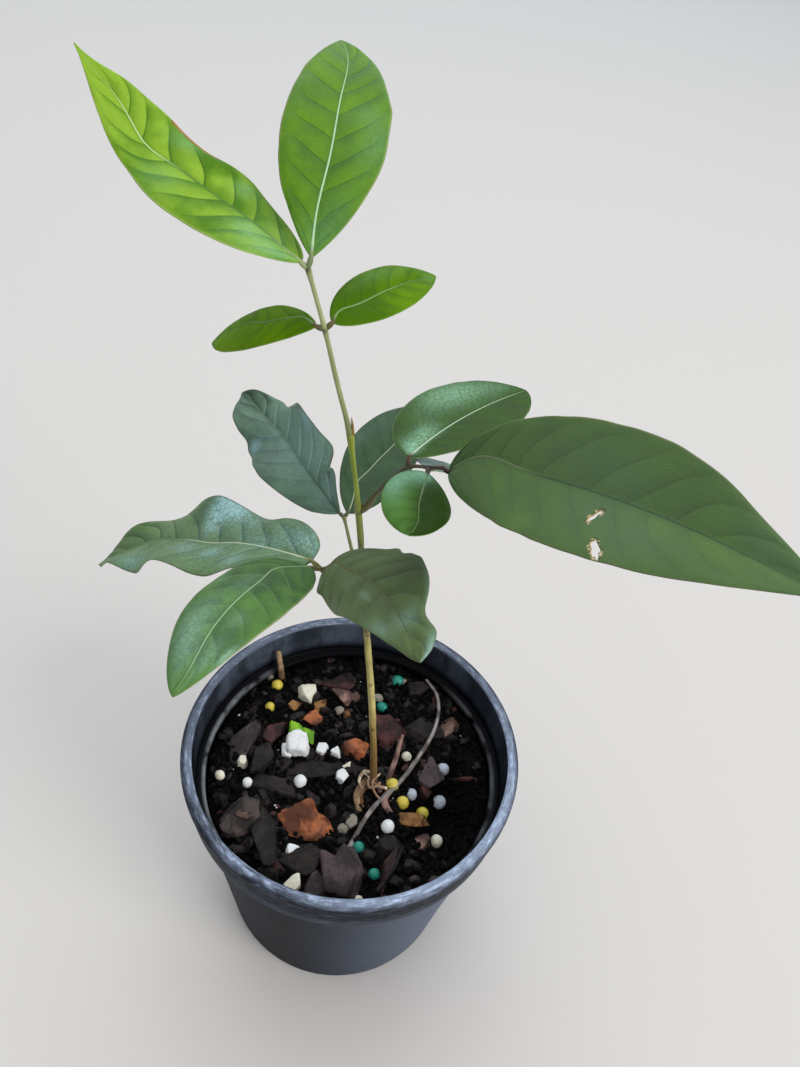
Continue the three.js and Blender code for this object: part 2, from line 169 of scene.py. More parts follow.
def noise(tree, place, scale, detail=3.0, roughness=0.5):
    return addNode(tree, "TexNoise", {"Vector": place, "Scale": scale, "Detail": detail,
                                      "Roughness": roughness})


def patches(tree, place, scale, detail, roughness, start, end, low=0.0, high=1.0):
    # noise turned into patches: low below start and high above end
    return smoothStep(tree, noise(tree, place, scale, detail, roughness), start, end, low, high)


def bump(tree, height, strength, distance, normal=None):
    under = {} if normal is None else {"Normal": normal}
    return addNode(tree, "Bump", {"Height": height, "Strength": strength, "Distance": distance, **under})


def objectPlace(tree, stretch=None):
    place = addNode(tree, "TexCoord", {}, "Object")
    if stretch is None:
        return place
    return addNode(tree, "Mapping", {"Vector": place, "Scale": stretch})


def axes(tree, vector):
    # a vector's x, y and z
    return list(addNode(tree, "SeparateXYZ", {0: vector}).node.outputs)


def axesAndRadius(tree, place):
    # x, y, z and the distance from the pot's middle line, the square root of x^2 + y^2
    x, y, z = axes(tree, place)
    squares = [calc(tree, "POWER", side, 2.0) for side in (x, y)]
    return x, y, z, calc(tree, "SQRT", calc(tree, "ADD", *squares))


def surfaceAxes(tree):
    return axes(tree, addNode(tree, "UVMap", {}, uv_map="surface"))


def attribute(tree, name):
    return addNode(tree, "Attribute", {}, "Fac", attribute_name=name)


def newMaterial(name, rough=None, gloss=None):
    # rough and gloss are the shader's roughness and specular level where they are even all over
    material = bpy.data.materials.new(name)
    material.use_nodes = True
    tree = material.node_tree
    shader = tree.nodes["Principled BSDF"].inputs
    for socket, value in (("Roughness", rough), ("Specular IOR Level", gloss)):
        if value is not None:
            shader[socket].default_value = value
    return material, tree, shader


def newGroup(name, inputs, outputs):
    # inputs and outputs map a socket's name to "Float", "Color" or "Vector"
    group = bpy.data.node_groups.new(name, "ShaderNodeTree")
    for direction, sockets in (("INPUT", inputs), ("OUTPUT", outputs)):
        for socket, kind in sockets.items():
            group.interface.new_socket(socket, in_out=direction, socket_type="NodeSocket" + kind)
    return group, group.nodes.new("NodeGroupInput").outputs, group.nodes.new("NodeGroupOutput").inputs


def useGroup(tree, group, **values):
    node = tree.nodes.new("ShaderNodeGroup")
    node.node_tree = group
    setInputs(tree, node.inputs, values)
    return node.outputs


# Numpy helpers

def valueNoise(points, seed=0):
    # a random height at each corner of a unit lattice, blended by 3t^2 - 2t^3 along each axis
    cell = np.floor(points)
    part = points - cell
    ease = part * part * (3 - 2 * part)
    total = np.zeros(points.shape[:-1])
    for corner in np.ndindex(2, 2, 2):
        hashed = np.sin((cell + corner) @ np.array([127.1, 311.7, 74.7]) + seed * 19.19) * 43758.5453
        weight = np.prod(np.where(np.array(corner) == 1, ease, 1 - ease), axis=-1)
        total += (hashed - np.floor(hashed)) * weight
    return 2 * total - 1


def roughNoise(points, octaves=3, seed=0):
    # each octave is twice as fine and half as high as the one before
    return sum(valueNoise(points * 2 ** k, seed + 7 * k) / 2 ** k for k in range(octaves))


def flatNoise(x, y, scale, octaves=3, seed=0):
    return roughNoise(np.stack([x / scale, y / scale, np.full(np.shape(x), 0.5)], -1), octaves, seed)


def drumNoise(angle, radius, height, octaves, seed, shift=0):
    # noise on a drum of that radius, which closes on itself all round a tube
    drum = np.stack(np.broadcast_arrays(np.cos(angle) * radius, np.sin(angle) * radius, height), -1)
    return roughNoise(drum + shift, octaves, seed)


def smooth(value, start, end):
    share = np.clip((value - start) / (end - start), 0, 1)
    return share * share * (3 - 2 * share)


def bell(value, at, reach):
    return np.exp(-((value - at) / reach) ** 2)


def unit(vectors):
    return vectors / np.linalg.norm(vectors, axis=-1, keepdims=True)


def roundAngles(count):
    return np.linspace(0, 2 * np.pi, count, endpoint=False)


def turnedBy(turn, tilt=0.0, lean=0.0):
    # lean about X, then tilt about Y, then turn about Z, in degrees
    a, b, c = np.radians([turn, tilt, lean])
    aboutZ = np.array([[np.cos(a), -np.sin(a), 0], [np.sin(a), np.cos(a), 0], [0, 0, 1]])
    aboutY = np.array([[np.cos(b), 0, np.sin(b)], [0, 1, 0], [-np.sin(b), 0, np.cos(b)]])
    aboutX = np.array([[1, 0, 0], [0, np.cos(c), -np.sin(c)], [0, np.sin(c), np.cos(c)]])
    return aboutZ @ aboutY @ aboutX


def lengthAlong(line):
    # how far along a line each of its points lies
    return np.concatenate([[0], np.cumsum(np.linalg.norm(np.diff(line, axis=0), axis=1))])


def readAlong(places, knots, line):
    # a line's points at the given places, straight between its knots
    return np.stack([np.interp(places, knots, side) for side in line.T], -1)


def curveThrough(points, count):
    # centripetal Catmull-Rom through the points, resampled evenly along its length
    points = np.array(points, float)
    ends = np.concatenate([[2 * points[0] - points[1]], points, [2 * points[-1] - points[-2]]])
    before, start, end, after = ends[:-3], ends[1:-2], ends[2:-1], ends[3:]
    knot = np.sqrt(np.linalg.norm(np.diff(ends, axis=0), axis=1))[:, None]
    lead, span, trail = knot[:-2], knot[1:-1], knot[2:]
    leave = ((start - before) / lead - (end - before) / (lead + span) + (end - start) / span) * span
    arrive = ((end - start) / span - (after - start) / (span + trail) + (after - end) / trail) * span
    t = np.linspace(0, 1, 33)[None, :-1, None]
    cubic = (start[:, None] + leave[:, None] * t
             + (3 * (end - start) - 2 * leave - arrive)[:, None] * t ** 2
             + (2 * (start - end) + leave + arrive)[:, None] * t ** 3)
    fine = np.concatenate([cubic.reshape(-1, 3), points[-1:]])
    length = lengthAlong(fine)
    return readAlong(np.linspace(0, length[-1], count), length, fine), length[-1]


def tubeRings(path, radius, sides):
    # a circle square to the path at each step: radius is (steps,) or (steps, sides)
    tangent = unit(np.gradient(path, axis=0))
    # the circle's axes start from the world's axis that the path follows least
    spare = np.eye(3)[np.argmin(np.abs(tangent).mean(0))]
    side = unit(np.cross(tangent, spare))
    over = np.cross(tangent, side)
    angle = roundAngles(sides)
    radius = np.broadcast_to(np.asarray(radius).reshape(len(path), -1), (len(path), sides))[..., None]
    spoke = np.cos(angle)[None, :, None] * side[:, None] + np.sin(angle)[None, :, None] * over[:, None]
    return path[:, None] + spoke * radius


def loft(rings):
    # joins neighbouring rings by quads, and closes each end with a fan round its ring's middle
    rows, columns = rings.shape[:2]
    points = np.concatenate([rings.reshape(-1, 3), rings[:1].mean(1), rings[-1:].mean(1)])
    row, column = np.mgrid[0:rows - 1, 0:columns]
    after = (column + 1) % columns
    quads = np.stack([row * columns + column, row * columns + after,
                      (row + 1) * columns + after, (row + 1) * columns + column], -1).reshape(-1, 4)
    ring = np.arange(columns)
    onward = (ring + 1) % columns
    footFan = np.stack([np.full(columns, rows * columns), onward, ring], -1)
    last = (rows - 1) * columns
    tipFan = np.stack([np.full(columns, rows * columns + 1), last + ring, last + onward], -1)
    return points, quads.tolist() + footFan.tolist() + tipFan.tolist()


def joined(parts):
    # puts several (points, faces) sets into one, with the face numbers moved on
    points, faces, start = [], [], 0
    for partPoints, partFaces in parts:
        points.append(partPoints)
        faces += [[corner + start for corner in face] for face in partFaces]
        start += len(partPoints)
    return np.concatenate(points), faces


def addPiece(name, points, faces, materials, stands=(), slot=None, materialIndex=None, uv=None,
             masks=None, rounded=True):
    # uv is (points, 2), and masks maps an attribute's name to (points,)
    piece = addMesh(name, points, faces, materials)
    mesh = piece.data
    mesh.polygons.foreach_set("use_smooth", np.full(len(mesh.polygons), rounded))
    if materialIndex is not None:
        mesh.polygons.foreach_set("material_index", np.asarray(materialIndex, np.int32))
    if uv is not None:
        corner = np.zeros(len(mesh.loops), np.int32)
        mesh.loops.foreach_get("vertex_index", corner)
        mesh.uv_layers.new(name="surface").data.foreach_set("uv", uv[corner].astype(np.float32).ravel())
    for mask, values in (masks or {}).items():
        mesh.attributes.new(mask, "FLOAT", "POINT").data.foreach_set("value", values.astype(np.float32))
    mesh.validate()
    mesh.update()
    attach(piece, "root")
    if stands:
        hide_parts(*stands)
    return piece


def addFloor():
    half = floorSettings["size"] / 2
    material, tree, shader = newMaterial("floor", floorSettings["roughness"])
    setInputs(tree, shader, {"Base Color": floorSettings["color"]})
    corners = np.array([[-half, -half, 0], [half, -half, 0], [half, half, 0], [-half, half, 0]])
    addMesh("floor", corners, [(0, 1, 2, 3)], [material])


addCamera(cameraView)
addLights()
addFloor()
print("camera, light and floor ready")


# Leaflets: lengths in millimetres, angles in degrees, places as offsets from their forks

forks = {
    "top": (-20.2, -6.4, 261.4), "upper": (-16.3, -6.4, 248.8),
    "right1": (4.5, -9.9, 218.8), "right2": (9.1, -14.4, 223.1), "right3": (11.9, -17.6, 225.8),
    "back": (-10.2, 10.3, 183.8), "front": (-12.2, -23.8, 196.6),
}
plainLeaf = {
    "arch": 20, "sweep": 0, "roll": 0, "twist": 0, "fold": 12, "cup": 0.06, "widest": 0.47,
    "baseTaper": 1.4, "tipTaper": 1.5, "skew": 0, "waveHeight": 0, "waveCount": 2.5,
    "waveLeft": 0, "waveRight": 0, "swells": [], "slits": [],
    # bow pushes the midrib towards one margin: place and reach along the blade, then how far
    "bow": [],
    # side veins along the blade, how far they lean and bend forward, the right side's shift, and
    # how unevenly they are spaced
    "veins": 8, "lean": 0.1, "bend": 0.06, "shift": 0.4, "wander": 0.3,
    # how high the panels between the veins stand, and how uneven the margin and the halves are
    "quilt": 0.07, "crimp": 0.014, "ripple": 0.25,
    # spots on the blade: u, v, reach along, reach across, amount. tone lightens or darkens it,
    # paintedSheen is painted sheen, a painted reflection of the bright back on the waxy blade,
    # and lines brings its side veins out
    "tone": [], "paintedSheen": [], "lines": [],
}
leafBuild = {
    "rows": 170, "across": 50, "thickness": 0.42, "stalkRadius": 0.45, "tipRadius": 0.15,
    "midribSteps": 256, "crease": 0.04, "dryBorder": 0.6, "seedStep": 11,
    "ribRadius": 0.3, "ribProud": 0.1, "ribSides": 10, "ribSteps": 90, "ribEnd": 0.985,
    "stalkSteps": 8, "pieceOfFork": 0.35,
}
leaves = {
    "leaf_top_left": {
        "fork": "top", "base": (-1.6, 0.1, 1.2), "length": 64, "width": 21,
        "heading": 150, "rise": 24, "arch": -25, "sweep": -8, "roll": -9, "twist": -27,
        "fold": 8, "cup": 0.09, "widest": 0.38, "baseTaper": 1.7, "tipTaper": 2.2, "skew": 0.04,
        "swells": [(0.34, 0.1, -1, 0.07), (0.55, 0.12, -1, -0.2), (0.86, 0.08, -1, 0.35)],
        "bow": [(0.62, 0.1, 0.22), (0.18, 0.2, -0.21), (0.83, 0.07, -0.1)],
        "burntMargin": (0.43, 0.68, -1),
        "veins": 9.5, "shift": 0.12, "quilt": 0.22, "look": "youngBlotched",
        "tone": [(0.87, 0, 0.24, 2, 1.3), (0.55, 0.6, 0.08, 0.5, -0.4), (0.57, -0.85, 0.05, 0.3, -1.1),
                 (0.48, -0.82, 0.05, 0.35, -1.5), (0.4, -0.7, 0.03, 0.25, -1.2),
                 (0.27, 0.72, 0.04, 0.25, -0.8), (0.46, -0.2, 0.04, 0.2, 0.5),
                 (0.39, -0.32, 0.03, 0.15, 0.9), (0.57, -0.05, 0.03, 0.15, 0.5),
                 (0.31, -0.35, 0.03, 0.15, 0.8), (0.25, -0.6, 0.03, 0.2, 0.7)],
        "paintedSheen": [(0.56, -0.77, 0.05, 0.25, 0.4), (0.32, -0.6, 0.04, 0.25, 0.4),
                  (0.19, 0.33, 0.05, 0.25, 0.5), (0.07, 0.6, 0.08, 0.35, 0.6),
                  (0.49, 0.5, 0.06, 0.4, 0.25), (0.12, 0, 0.1, 1, 0.2)]},
    "leaf_top_right": {
        "fork": "top", "base": (0.6, 0, 2.7), "length": 61, "width": 22,
        "heading": 92, "rise": 26, "arch": 35, "sweep": 15, "roll": -4,
        "fold": 6, "cup": 0.11, "widest": 0.48, "baseTaper": 1.9,
        "bow": [(0.1, 0.18, 0.12), (0.9, 0.2, -0.22)],
        "veins": 9.5, "shift": 0.05, "wander": 0.2, "quilt": 0.16, "crimp": 0.022, "look": "youngVeined",
        "tone": [(0.38, 0.2, 0.07, 0.2, 0.7), (0.2, 0.4, 0.05, 0.3, 0.8),
                 (0.57, -0.17, 0.06, 0.15, 0.6), (0.39, -0.6, 0.09, 0.25, 0.55),
                 (0.39, -0.12, 0.04, 0.12, 0.6), (0.7, 0.8, 0.3, 0.35, 0.3),
                 (0.12, -0.4, 0.12, 0.5, -0.7), (0.75, -0.5, 0.2, 0.5, 0.1)],
        "paintedSheen": [(0.42, -0.78, 0.1, 0.3, 0.35), (0.54, -0.55, 0.05, 0.3, 0.25),
                  (0.12, -0.6, 0.12, 0.5, 0.2), (0.05, 0, 0.07, 1, 0.25)]},
    "leaf_upper_left": {
        "fork": "upper", "base": (-2.0, -0.3, 0.7), "length": 34, "width": 12.2,
        "heading": 150, "rise": -28, "arch": 40, "sweep": 8, "roll": -25,
        "fold": 4, "cup": 0.2, "widest": 0.52, "baseTaper": 1.55, "skew": 0.18,
        "bow": [(0.1, 0.12, -0.4), (0.42, 0.1, 0.12)], "veins": 7, "look": "youngSmall",
        "tone": [(0.55, 0.1, 0.05, 0.6, -0.6), (0.78, 0.4, 0.2, 0.9, 1.8), (0.35, 0.4, 0.25, 1, 1.5),
                 (0.3, -0.6, 0.3, 0.4, 0.4)]},
    "leaf_upper_right": {
        "fork": "upper", "base": (1.6, 0.6, 1.6), "length": 33, "width": 12,
        "heading": 52, "rise": 2, "arch": 18, "sweep": -10, "roll": 22, "fold": 8, "cup": 0.08,
        "bow": [(0.07, 0.12, 0.35)], "veins": 7, "look": "youngSmall",
        "tone": [(0.12, 0, 0.17, 1.2, -2.0), (0.45, 0.1, 0.3, 0.6, -0.5), (0.6, -0.5, 0.25, 0.4, 0.3)],
        "paintedSheen": [(0.55, 0.75, 0.3, 0.3, 0.2), (0.95, 0, 0.08, 0.8, 0.2)]},
    "leaf_right_upper": {
        "fork": "right1", "base": (0.2, 1.5, 2.0), "length": 67, "width": 26,
        "heading": 60, "rise": -11, "arch": 0, "sweep": -17, "twist": 7, "fold": 13,
        "baseTaper": 1.2, "tipTaper": 1.4, "look": "silvery",
        "tone": [(0.5, 0.95, 0.07, 0.15, 0.8), (0.27, 0.7, 0.06, 0.2, 0.5), (0.8, -0.5, 0.2, 0.5, -0.2),
                 (0.4, -0.6, 0.3, 0.5, -0.2)],
        "paintedSheen": [(0.5, 0.66, 0.16, 0.34, 0.6), (0.67, 0.62, 0.14, 0.4, 0.45),
                  (0.85, 0.6, 0.1, 0.4, 0.25), (0.18, 0.18, 0.11, 0.25, 0.8),
                  (0.05, 0.2, 0.06, 0.4, 0.9), (0.15, -0.3, 0.1, 0.3, -0.2)]},
    "leaf_right_under": {
        "fork": "right2", "base": (1.0, 1.3, -1.5), "length": 38, "width": 15,
        "heading": 72, "rise": -34, "arch": 6, "fold": 6, "look": "blueGreen",
        "paintedSheen": [(0.4, 0, 0.6, 1.5, 1.3)]},
    "leaf_right_small": {
        "fork": "right2", "base": (-0.3, -2.6, 0.1), "length": 33, "width": 14,
        "heading": -96, "rise": 17, "arch": 0, "roll": -10, "twist": 18, "fold": 8, "cup": 0.1,
        "widest": 0.53, "baseTaper": 1.3, "tipTaper": 1.15, "skew": -0.06, "bow": [(0.85, 0.2, 0.15)],
        "veins": 7, "quilt": 0.03, "crimp": 0.006, "look": "smoothSmall",
        "tone": [(0.6, -0.6, 0.5, 0.6, 1.2), (0.5, 0.6, 0.6, 0.7, -1.35), (0.95, 0, 0.2, 1, -0.1)],
        "paintedSheen": [(0.4, -0.8, 0.22, 0.3, 0.8), (0.15, -0.5, 0.14, 0.5, 0.75), (0.06, 0, 0.08, 0.6, 0.7)]},
    "leaf_right_large": {
        "fork": "right3", "base": (1.4, -2.3, 0.5), "length": 84, "width": 23.5,
        "heading": -52, "rise": 23, "arch": 38, "sweep": 16, "roll": 52, "twist": -35,
        "fold": 18, "widest": 0.54, "baseTaper": 1.3, "tipTaper": 2.2,
        "swells": [(0.88, 0.08, 1, -0.12)], "bow": [(0.1, 0.17, 0.45)],
        "veins": 10, "quilt": 0.13, "look": "matteLarge",
        "tone": [(0.39, -0.85, 0.035, 0.2, 1.6), (0.17, 0.08, 0.04, 0.08, 1.4),
                 (0.6, -0.4, 0.15, 0.4, 0.5), (0.84, -0.15, 0.12, 0.3, 0.6),
                 (0.7, -0.2, 0.03, 0.14, 0.6), (0.27, -0.45, 0.1, 0.25, 0.5),
                 (0.15, 0.5, 0.14, 0.6, 0.4), (0.43, 0.05, 0.12, 0.2, 0.4),
                 (0.05, 0.4, 0.08, 0.8, -0.5)],
        "paintedSheen": [(0.5, 0.4, 0.14, 0.4, 0.2), (0.6, 0.3, 0.05, 0.25, 0.15),
                  (0.54, -0.32, 0.1, 0.3, 0.22), (0.67, -0.45, 0.08, 0.4, 0.26),
                  (0.9, 0.4, 0.08, 0.4, 0.2)],
        "slits": [{"at": 0.57, "across": -0.35, "length": 3.6, "width": 0.9, "turn": 62},
                  {"at": 0.62, "across": -0.82, "length": 4, "width": 1.5, "turn": -42}]},
    "leaf_back_left": {
        "fork": "back", "base": (-1.4, 0.8, 0.6), "length": 65, "width": 23,
        "heading": 126, "rise": 0, "arch": 7, "roll": -36, "twist": 30, "fold": 21, "cup": 0.02,
        "baseTaper": 1.6, "tipTaper": 1.75, "waveHeight": 3.4, "waveCount": 2.25,
        "waveLeft": 0.35, "waveRight": 0.1,
        "swells": [(0.28, 0.07, -1, 0.1), (0.09, 0.05, -1, 0.25), (0.19, 0.025, -1, -0.22),
                   (0.71, 0.035, -1, -0.1), (0.63, 0.03, -1, 0.06), (0.8, 0.05, 1, 0.08),
                   (0.68, 0.035, 1, -0.1)],
        "burntMargin": (0.16, 0.27, -1),
        "bow": [(0.6, 0.25, -0.1), (0.93, 0.1, -0.2)], "veins": 8.5, "quilt": 0.34, "crimp": 0.045,
        "look": "blueGreen",
        "tone": [(0.19, -0.5, 0.045, 0.35, -1.6), (0.22, 0.65, 0.12, 0.5, 1.3),
                 (0.85, 0.2, 0.15, 0.9, 0.3), (0.45, -0.5, 0.35, 0.6, 1.5),
                 (0.6, -0.8, 0.06, 0.3, -0.4)],
        "paintedSheen": [(0.45, -0.9, 0.05, 0.2, 0.6), (0.61, 0.78, 0.035, 0.2, 0.8),
                  (0.4, 0.3, 0.3, 0.6, 0.2), (0.1, -0.3, 0.06, 0.5, 0.4), (0.4, -0.5, 0.25, 0.6, 0.35)],
        "lines": [(0.42, -0.35, 0.16, 0.3, 1.9), (0.35, 0.4, 0.2, 0.5, 0.5)]},
    "leaf_back_right": {
        "fork": "back", "base": (0.9, 1.2, 0.7), "length": 55, "width": 20,
        "heading": 69, "rise": 4, "arch": 6, "sweep": -22, "roll": 19, "twist": -12, "fold": 17,
        "tipTaper": 1.4, "skew": -0.04, "bow": [(0.2, 0.1, 0.18), (0.6, 0.15, -0.12)],
        "quilt": 0.2, "look": "darkGreen",
        "tone": [(0.35, 0.6, 0.3, 0.4, -0.4), (0.5, -0.5, 0.4, 0.5, -0.3)],
        "paintedSheen": [(0.46, 0.85, 0.12, 0.25, 0.2), (0.69, 0.7, 0.15, 0.35, 0.2)]},
    "leaf_front_wavy": {
        "fork": "front", "base": (-2.6, 0.7, 1.7), "length": 78, "width": 26.5,
        "heading": 159, "rise": -28, "arch": 37, "sweep": 10, "roll": -4, "twist": -9, "fold": 13,
        "widest": 0.39, "baseTaper": 0.95, "waveHeight": 2.4, "waveCount": 2.8,
        "waveLeft": 0.9, "waveRight": -0.05, "swells": [(0.2, 0.13, -1, -0.2)],
        "bow": [(0.38, 0.08, 0.09), (0.68, 0.1, -0.15)], "veins": 10.5, "quilt": 0.24, "look": "speckled",
        "tone": [(0.49, -0.65, 0.025, 0.3, -1.4), (0.3, 0.82, 0.1, 0.25, 0.8),
                 (0.6, -0.4, 0.1, 0.5, 0.4)],
        "paintedSheen": [(0.42, -0.75, 0.04, 0.35, 1.1), (0.37, -0.85, 0.04, 0.2, 0.9),
                  (0.42, -0.35, 0.03, 0.2, 0.5), (0.31, -0.72, 0.07, 0.3, 0.35),
                  (0.03, -0.6, 0.05, 0.4, 0.5), (0.11, -0.5, 0.07, 0.35, 0.3),
                  (0.2, -0.1, 0.07, 0.2, 0.3), (0.7, 0.75, 0.07, 0.3, 0.4),
                  (0.33, 0.38, 0.035, 0.15, 0.5), (0.22, 0.6, 0.03, 0.2, 0.45),
                  (0.46, 0.3, 0.05, 0.2, 0.35), (0.25, 0, 0.4, 1.5, 0.12)],
        "lines": [(0.25, -0.4, 0.3, 0.6, 0.4)]},
    "leaf_front_left": {
        "fork": "front", "base": (-2.5, -1.9, 2.2), "length": 57, "width": 18.5,
        "heading": 251, "rise": 16, "arch": 50, "sweep": 20, "roll": 3, "twist": 11, "fold": 6,
        "cup": 0.2, "baseTaper": 1.65, "swells": [(0.42, 0.2, -1, -0.12)],
        "bow": [(0.25, 0.1, -0.17), (0.93, 0.12, 0.15)], "quilt": 0.14, "look": "mature",
        "tone": [(0.53, -0.83, 0.05, 0.18, 1.1), (0.58, -0.12, 0.04, 0.15, 0.9),
                 (0.6, 0.3, 0.07, 0.25, 0.5), (0.48, -0.2, 0.04, 0.12, -1.2),
                 (0.47, 0.18, 0.05, 0.12, -1.1), (0.72, 0.55, 0.04, 0.25, -0.6),
                 (0.3, 0.2, 0.2, 0.8, -0.5)],
        "paintedSheen": [(0.7, -0.47, 0.12, 0.35, 0.5), (0.46, -0.85, 0.04, 0.15, 0.25),
                  (0.84, -0.5, 0.1, 0.4, 0.45), (0.82, 0.92, 0.05, 0.12, 0.9),
                  (0.85, 0.4, 0.1, 0.3, 0.45), (0.66, 0.37, 0.05, 0.2, 0.25),
                  (0.45, -0.2, 0.1, 0.3, 0.2)]},
    "leaf_front_right": {
        "fork": "front", "base": (1.0, -0.9, 1.4), "length": 52, "width": 20.5,
        "heading": -62, "rise": 24, "arch": 45, "sweep": -19, "roll": 25, "fold": 5, "cup": 0.17,
        "widest": 0.45, "tipTaper": 1.85, "skew": 0.08, "waveHeight": 2, "waveCount": 1.2,
        "waveLeft": 0.4, "waveRight": 0.4,
        "swells": [(0.82, 0.06, 1, -0.25), (0.94, 0.06, 1, 0.65), (0.985, 0.03, 1, 0.8),
                   (0.98, 0.04, -1, 0.3), (0.3, 0.03, 1, 0.08), (0.38, 0.04, 1, -0.05),
                   (0.11, 0.04, -1, 0.16)],
        "bow": [(0.03, 0.1, 0.4)], "quilt": 0.24, "crimp": 0.03, "look": "bronzed",
        "tone": [(0.88, 0.2, 0.1, 0.9, 0.6)],
        "paintedSheen": [(0.68, 0.98, 0.1, 0.08, 0.3), (0.79, -0.75, 0.06, 0.25, 0.25),
                  (0.54, -0.32, 0.05, 0.08, 0.3), (0.36, -0.35, 0.04, 0.15, 0.1),
                  (0.8, 0.2, 0.05, 0.5, 0.3), (0.97, 0.9, 0.06, 0.3, 0.6)]},
}


def bladeAxes(leaf, u):
    # the heading is +X: turn and climb set the direction, then roll turns the blade about it
    turn = np.radians(leaf["sweep"] * (u - 0.5))
    climb = np.radians(leaf["rise"] - leaf["arch"] * (u - 0.5))
    roll = np.radians(leaf["roll"] + leaf["twist"] * (u - 0.5))[..., None]
    along = np.stack([np.cos(turn) * np.cos(climb), np.sin(turn) * np.cos(climb), np.sin(climb)], -1)
    right = np.stack([np.sin(turn), -np.cos(turn), np.zeros_like(turn)], -1)
    up = np.cross(right, along)
    return along, np.cos(roll) * right - np.sin(roll) * up, np.cos(roll) * up + np.sin(roll) * right


def midrib(leaf, u):
    # the midrib is the sum of short steps along the blade's direction
    steps = leafBuild["midribSteps"]
    along = bladeAxes(leaf, (np.arange(steps) + 0.5) / steps)[0]
    path = np.concatenate([np.zeros((1, 3)), np.cumsum(along, axis=0) * leaf["length"] / steps])
    return readAlong(u, np.linspace(0, 1, steps + 1), path)


def halfWidth(leaf, u, v):
    # ((u/m)^m ((1-u)/(1-m))^(1-m))^taper peaks at m, with a taper of its own on each side; each
    # swell then widens or narrows its own side of the midrib round one place
    widest = leaf["widest"]
    within = np.clip(u, 0, 1)
    shape = (within / widest) ** widest * ((1 - within) / (1 - widest)) ** (1 - widest)
    taper = np.where(u < widest, leaf["baseTaper"], leaf["tipTaper"])
    swelling = 1 + sum(out * bell(u, at, reach) * (v * side > 0) for at, reach, side, out in leaf["swells"])
    return 0.5 * leaf["width"] * shape ** taper * (1 + np.sign(v) * leaf["skew"]) * swelling


def veinPhase(leaf, seed, u, v):
    # whole numbers lie on side veins, which lean and bend forward on their way out
    across = np.abs(v)
    wander = leaf["wander"] * flatNoise(u * 5, np.sign(v) * 4 + v * 0.6, 1, 2, seed + 5)
    leaning = u - leaf["lean"] * across - leaf["bend"] * across ** 2
    return leaf["veins"] * leaning + leaf["shift"] * (v < 0) + wander


def spots(leaf, kind, u, v):
    # the leaf's spots of one kind, each a bell curve along and across the blade, added up
    total = np.zeros(np.shape(u))
    for atU, atV, along, across, amount in leaf[kind]:
        total += amount * bell(u, atU, along) * bell(v, atV, across)
    return total


def bladePoints(leaf, seed, u, v):
    # the source's blade: fold and cup lift the halves, wave ripples the margins; on top of it the
    # panels between the veins are quilted and the margin is a little uneven
    right, up = bladeAxes(leaf, u)[1:]
    across = np.abs(v)
    edge = leafBuild["stalkRadius"] + (leafBuild["tipRadius"] - leafBuild["stalkRadius"]) * u
    outline = 1 + leaf["crimp"] * flatNoise(u * leaf["length"] / 7, v, 1, 2, seed) * smooth(across, 0.5, 1)
    half = halfWidth(leaf, u, v) * outline + edge
    phase = np.where(v > 0, leaf["waveLeft"], leaf["waveRight"])
    fade = np.sqrt(np.clip(np.sin(np.pi * u), 0, 1))
    wave = leaf["waveHeight"] * v ** 2 * np.sin(2 * np.pi * (leaf["waveCount"] * u + phase)) * fade
    fold = np.radians(leaf["fold"])
    # the fold's crease is rounded: sqrt(v^2 + r^2) - r
    crease = np.sqrt(v ** 2 + leafBuild["crease"] ** 2) - leafBuild["crease"]
    lift = half * (crease * np.sin(fold) - leaf["cup"] * v ** 2) + wave
    panel = np.sqrt(np.abs(np.sin(np.pi * veinPhase(leaf, seed, u, v))))
    inside = smooth(half * across, 0.2, 1.6) * (1 - smooth(across, 0.8, 1)) * smooth(half, 1, 4)
    rippled = flatNoise(u * leaf["length"] / 9, v * 2, 1, 2, seed + 3) * across ** 2 * fade
    lift = lift + leaf["quilt"] * panel * inside + leaf["ripple"] * rippled
    aside = v + sum(far * bell(u, at, reach) for at, reach, far in leaf["bow"]) * (1 - v ** 2)
    return midrib(leaf, u) + right * (-aside * half * np.cos(fold))[..., None] + up * lift[..., None], up


def slitDistance(leaf, u, v):
    # the distance in millimetres from the nearest slit's long axis, less half the slit's width
    nearest = np.full(np.shape(u), np.inf)
    for slit in leaf["slits"]:
        half = halfWidth(leaf, np.array(slit["at"]), slit["across"])
        forward = (u - slit["at"]) * leaf["length"]
        sideways = -(v - slit["across"]) * half
        turn = np.radians(slit["turn"])
        lengthwise = forward * np.cos(turn) - sideways * np.sin(turn)
        crosswise = forward * np.sin(turn) + sideways * np.cos(turn)
        beyond = np.maximum(np.abs(lengthwise) - slit["length"] / 2 + slit["width"] / 2, 0)
        nearest = np.minimum(nearest, np.hypot(beyond, crosswise) - slit["width"] / 2)
    return nearest


def burntShare(leaf, u, v):
    # 1 where the blade has dried: round its slits, and along the stretch of margin named in it
    dry = 1 - smooth(slitDistance(leaf, u, v), 0.0, leafBuild["dryBorder"])
    if "burntMargin" in leaf:
        start, end, side = leaf["burntMargin"]
        stretch = smooth(u, start, start + 0.05) * (1 - smooth(u, end - 0.05, end))
        dry = np.maximum(dry, stretch * smooth(v * side, 0.87, 1.0))
    return dry


def toWorld(leaf, points):
    return points @ turnedBy(leaf["heading"]).T + np.array(forks[leaf["fork"]]) + np.array(leaf["base"])


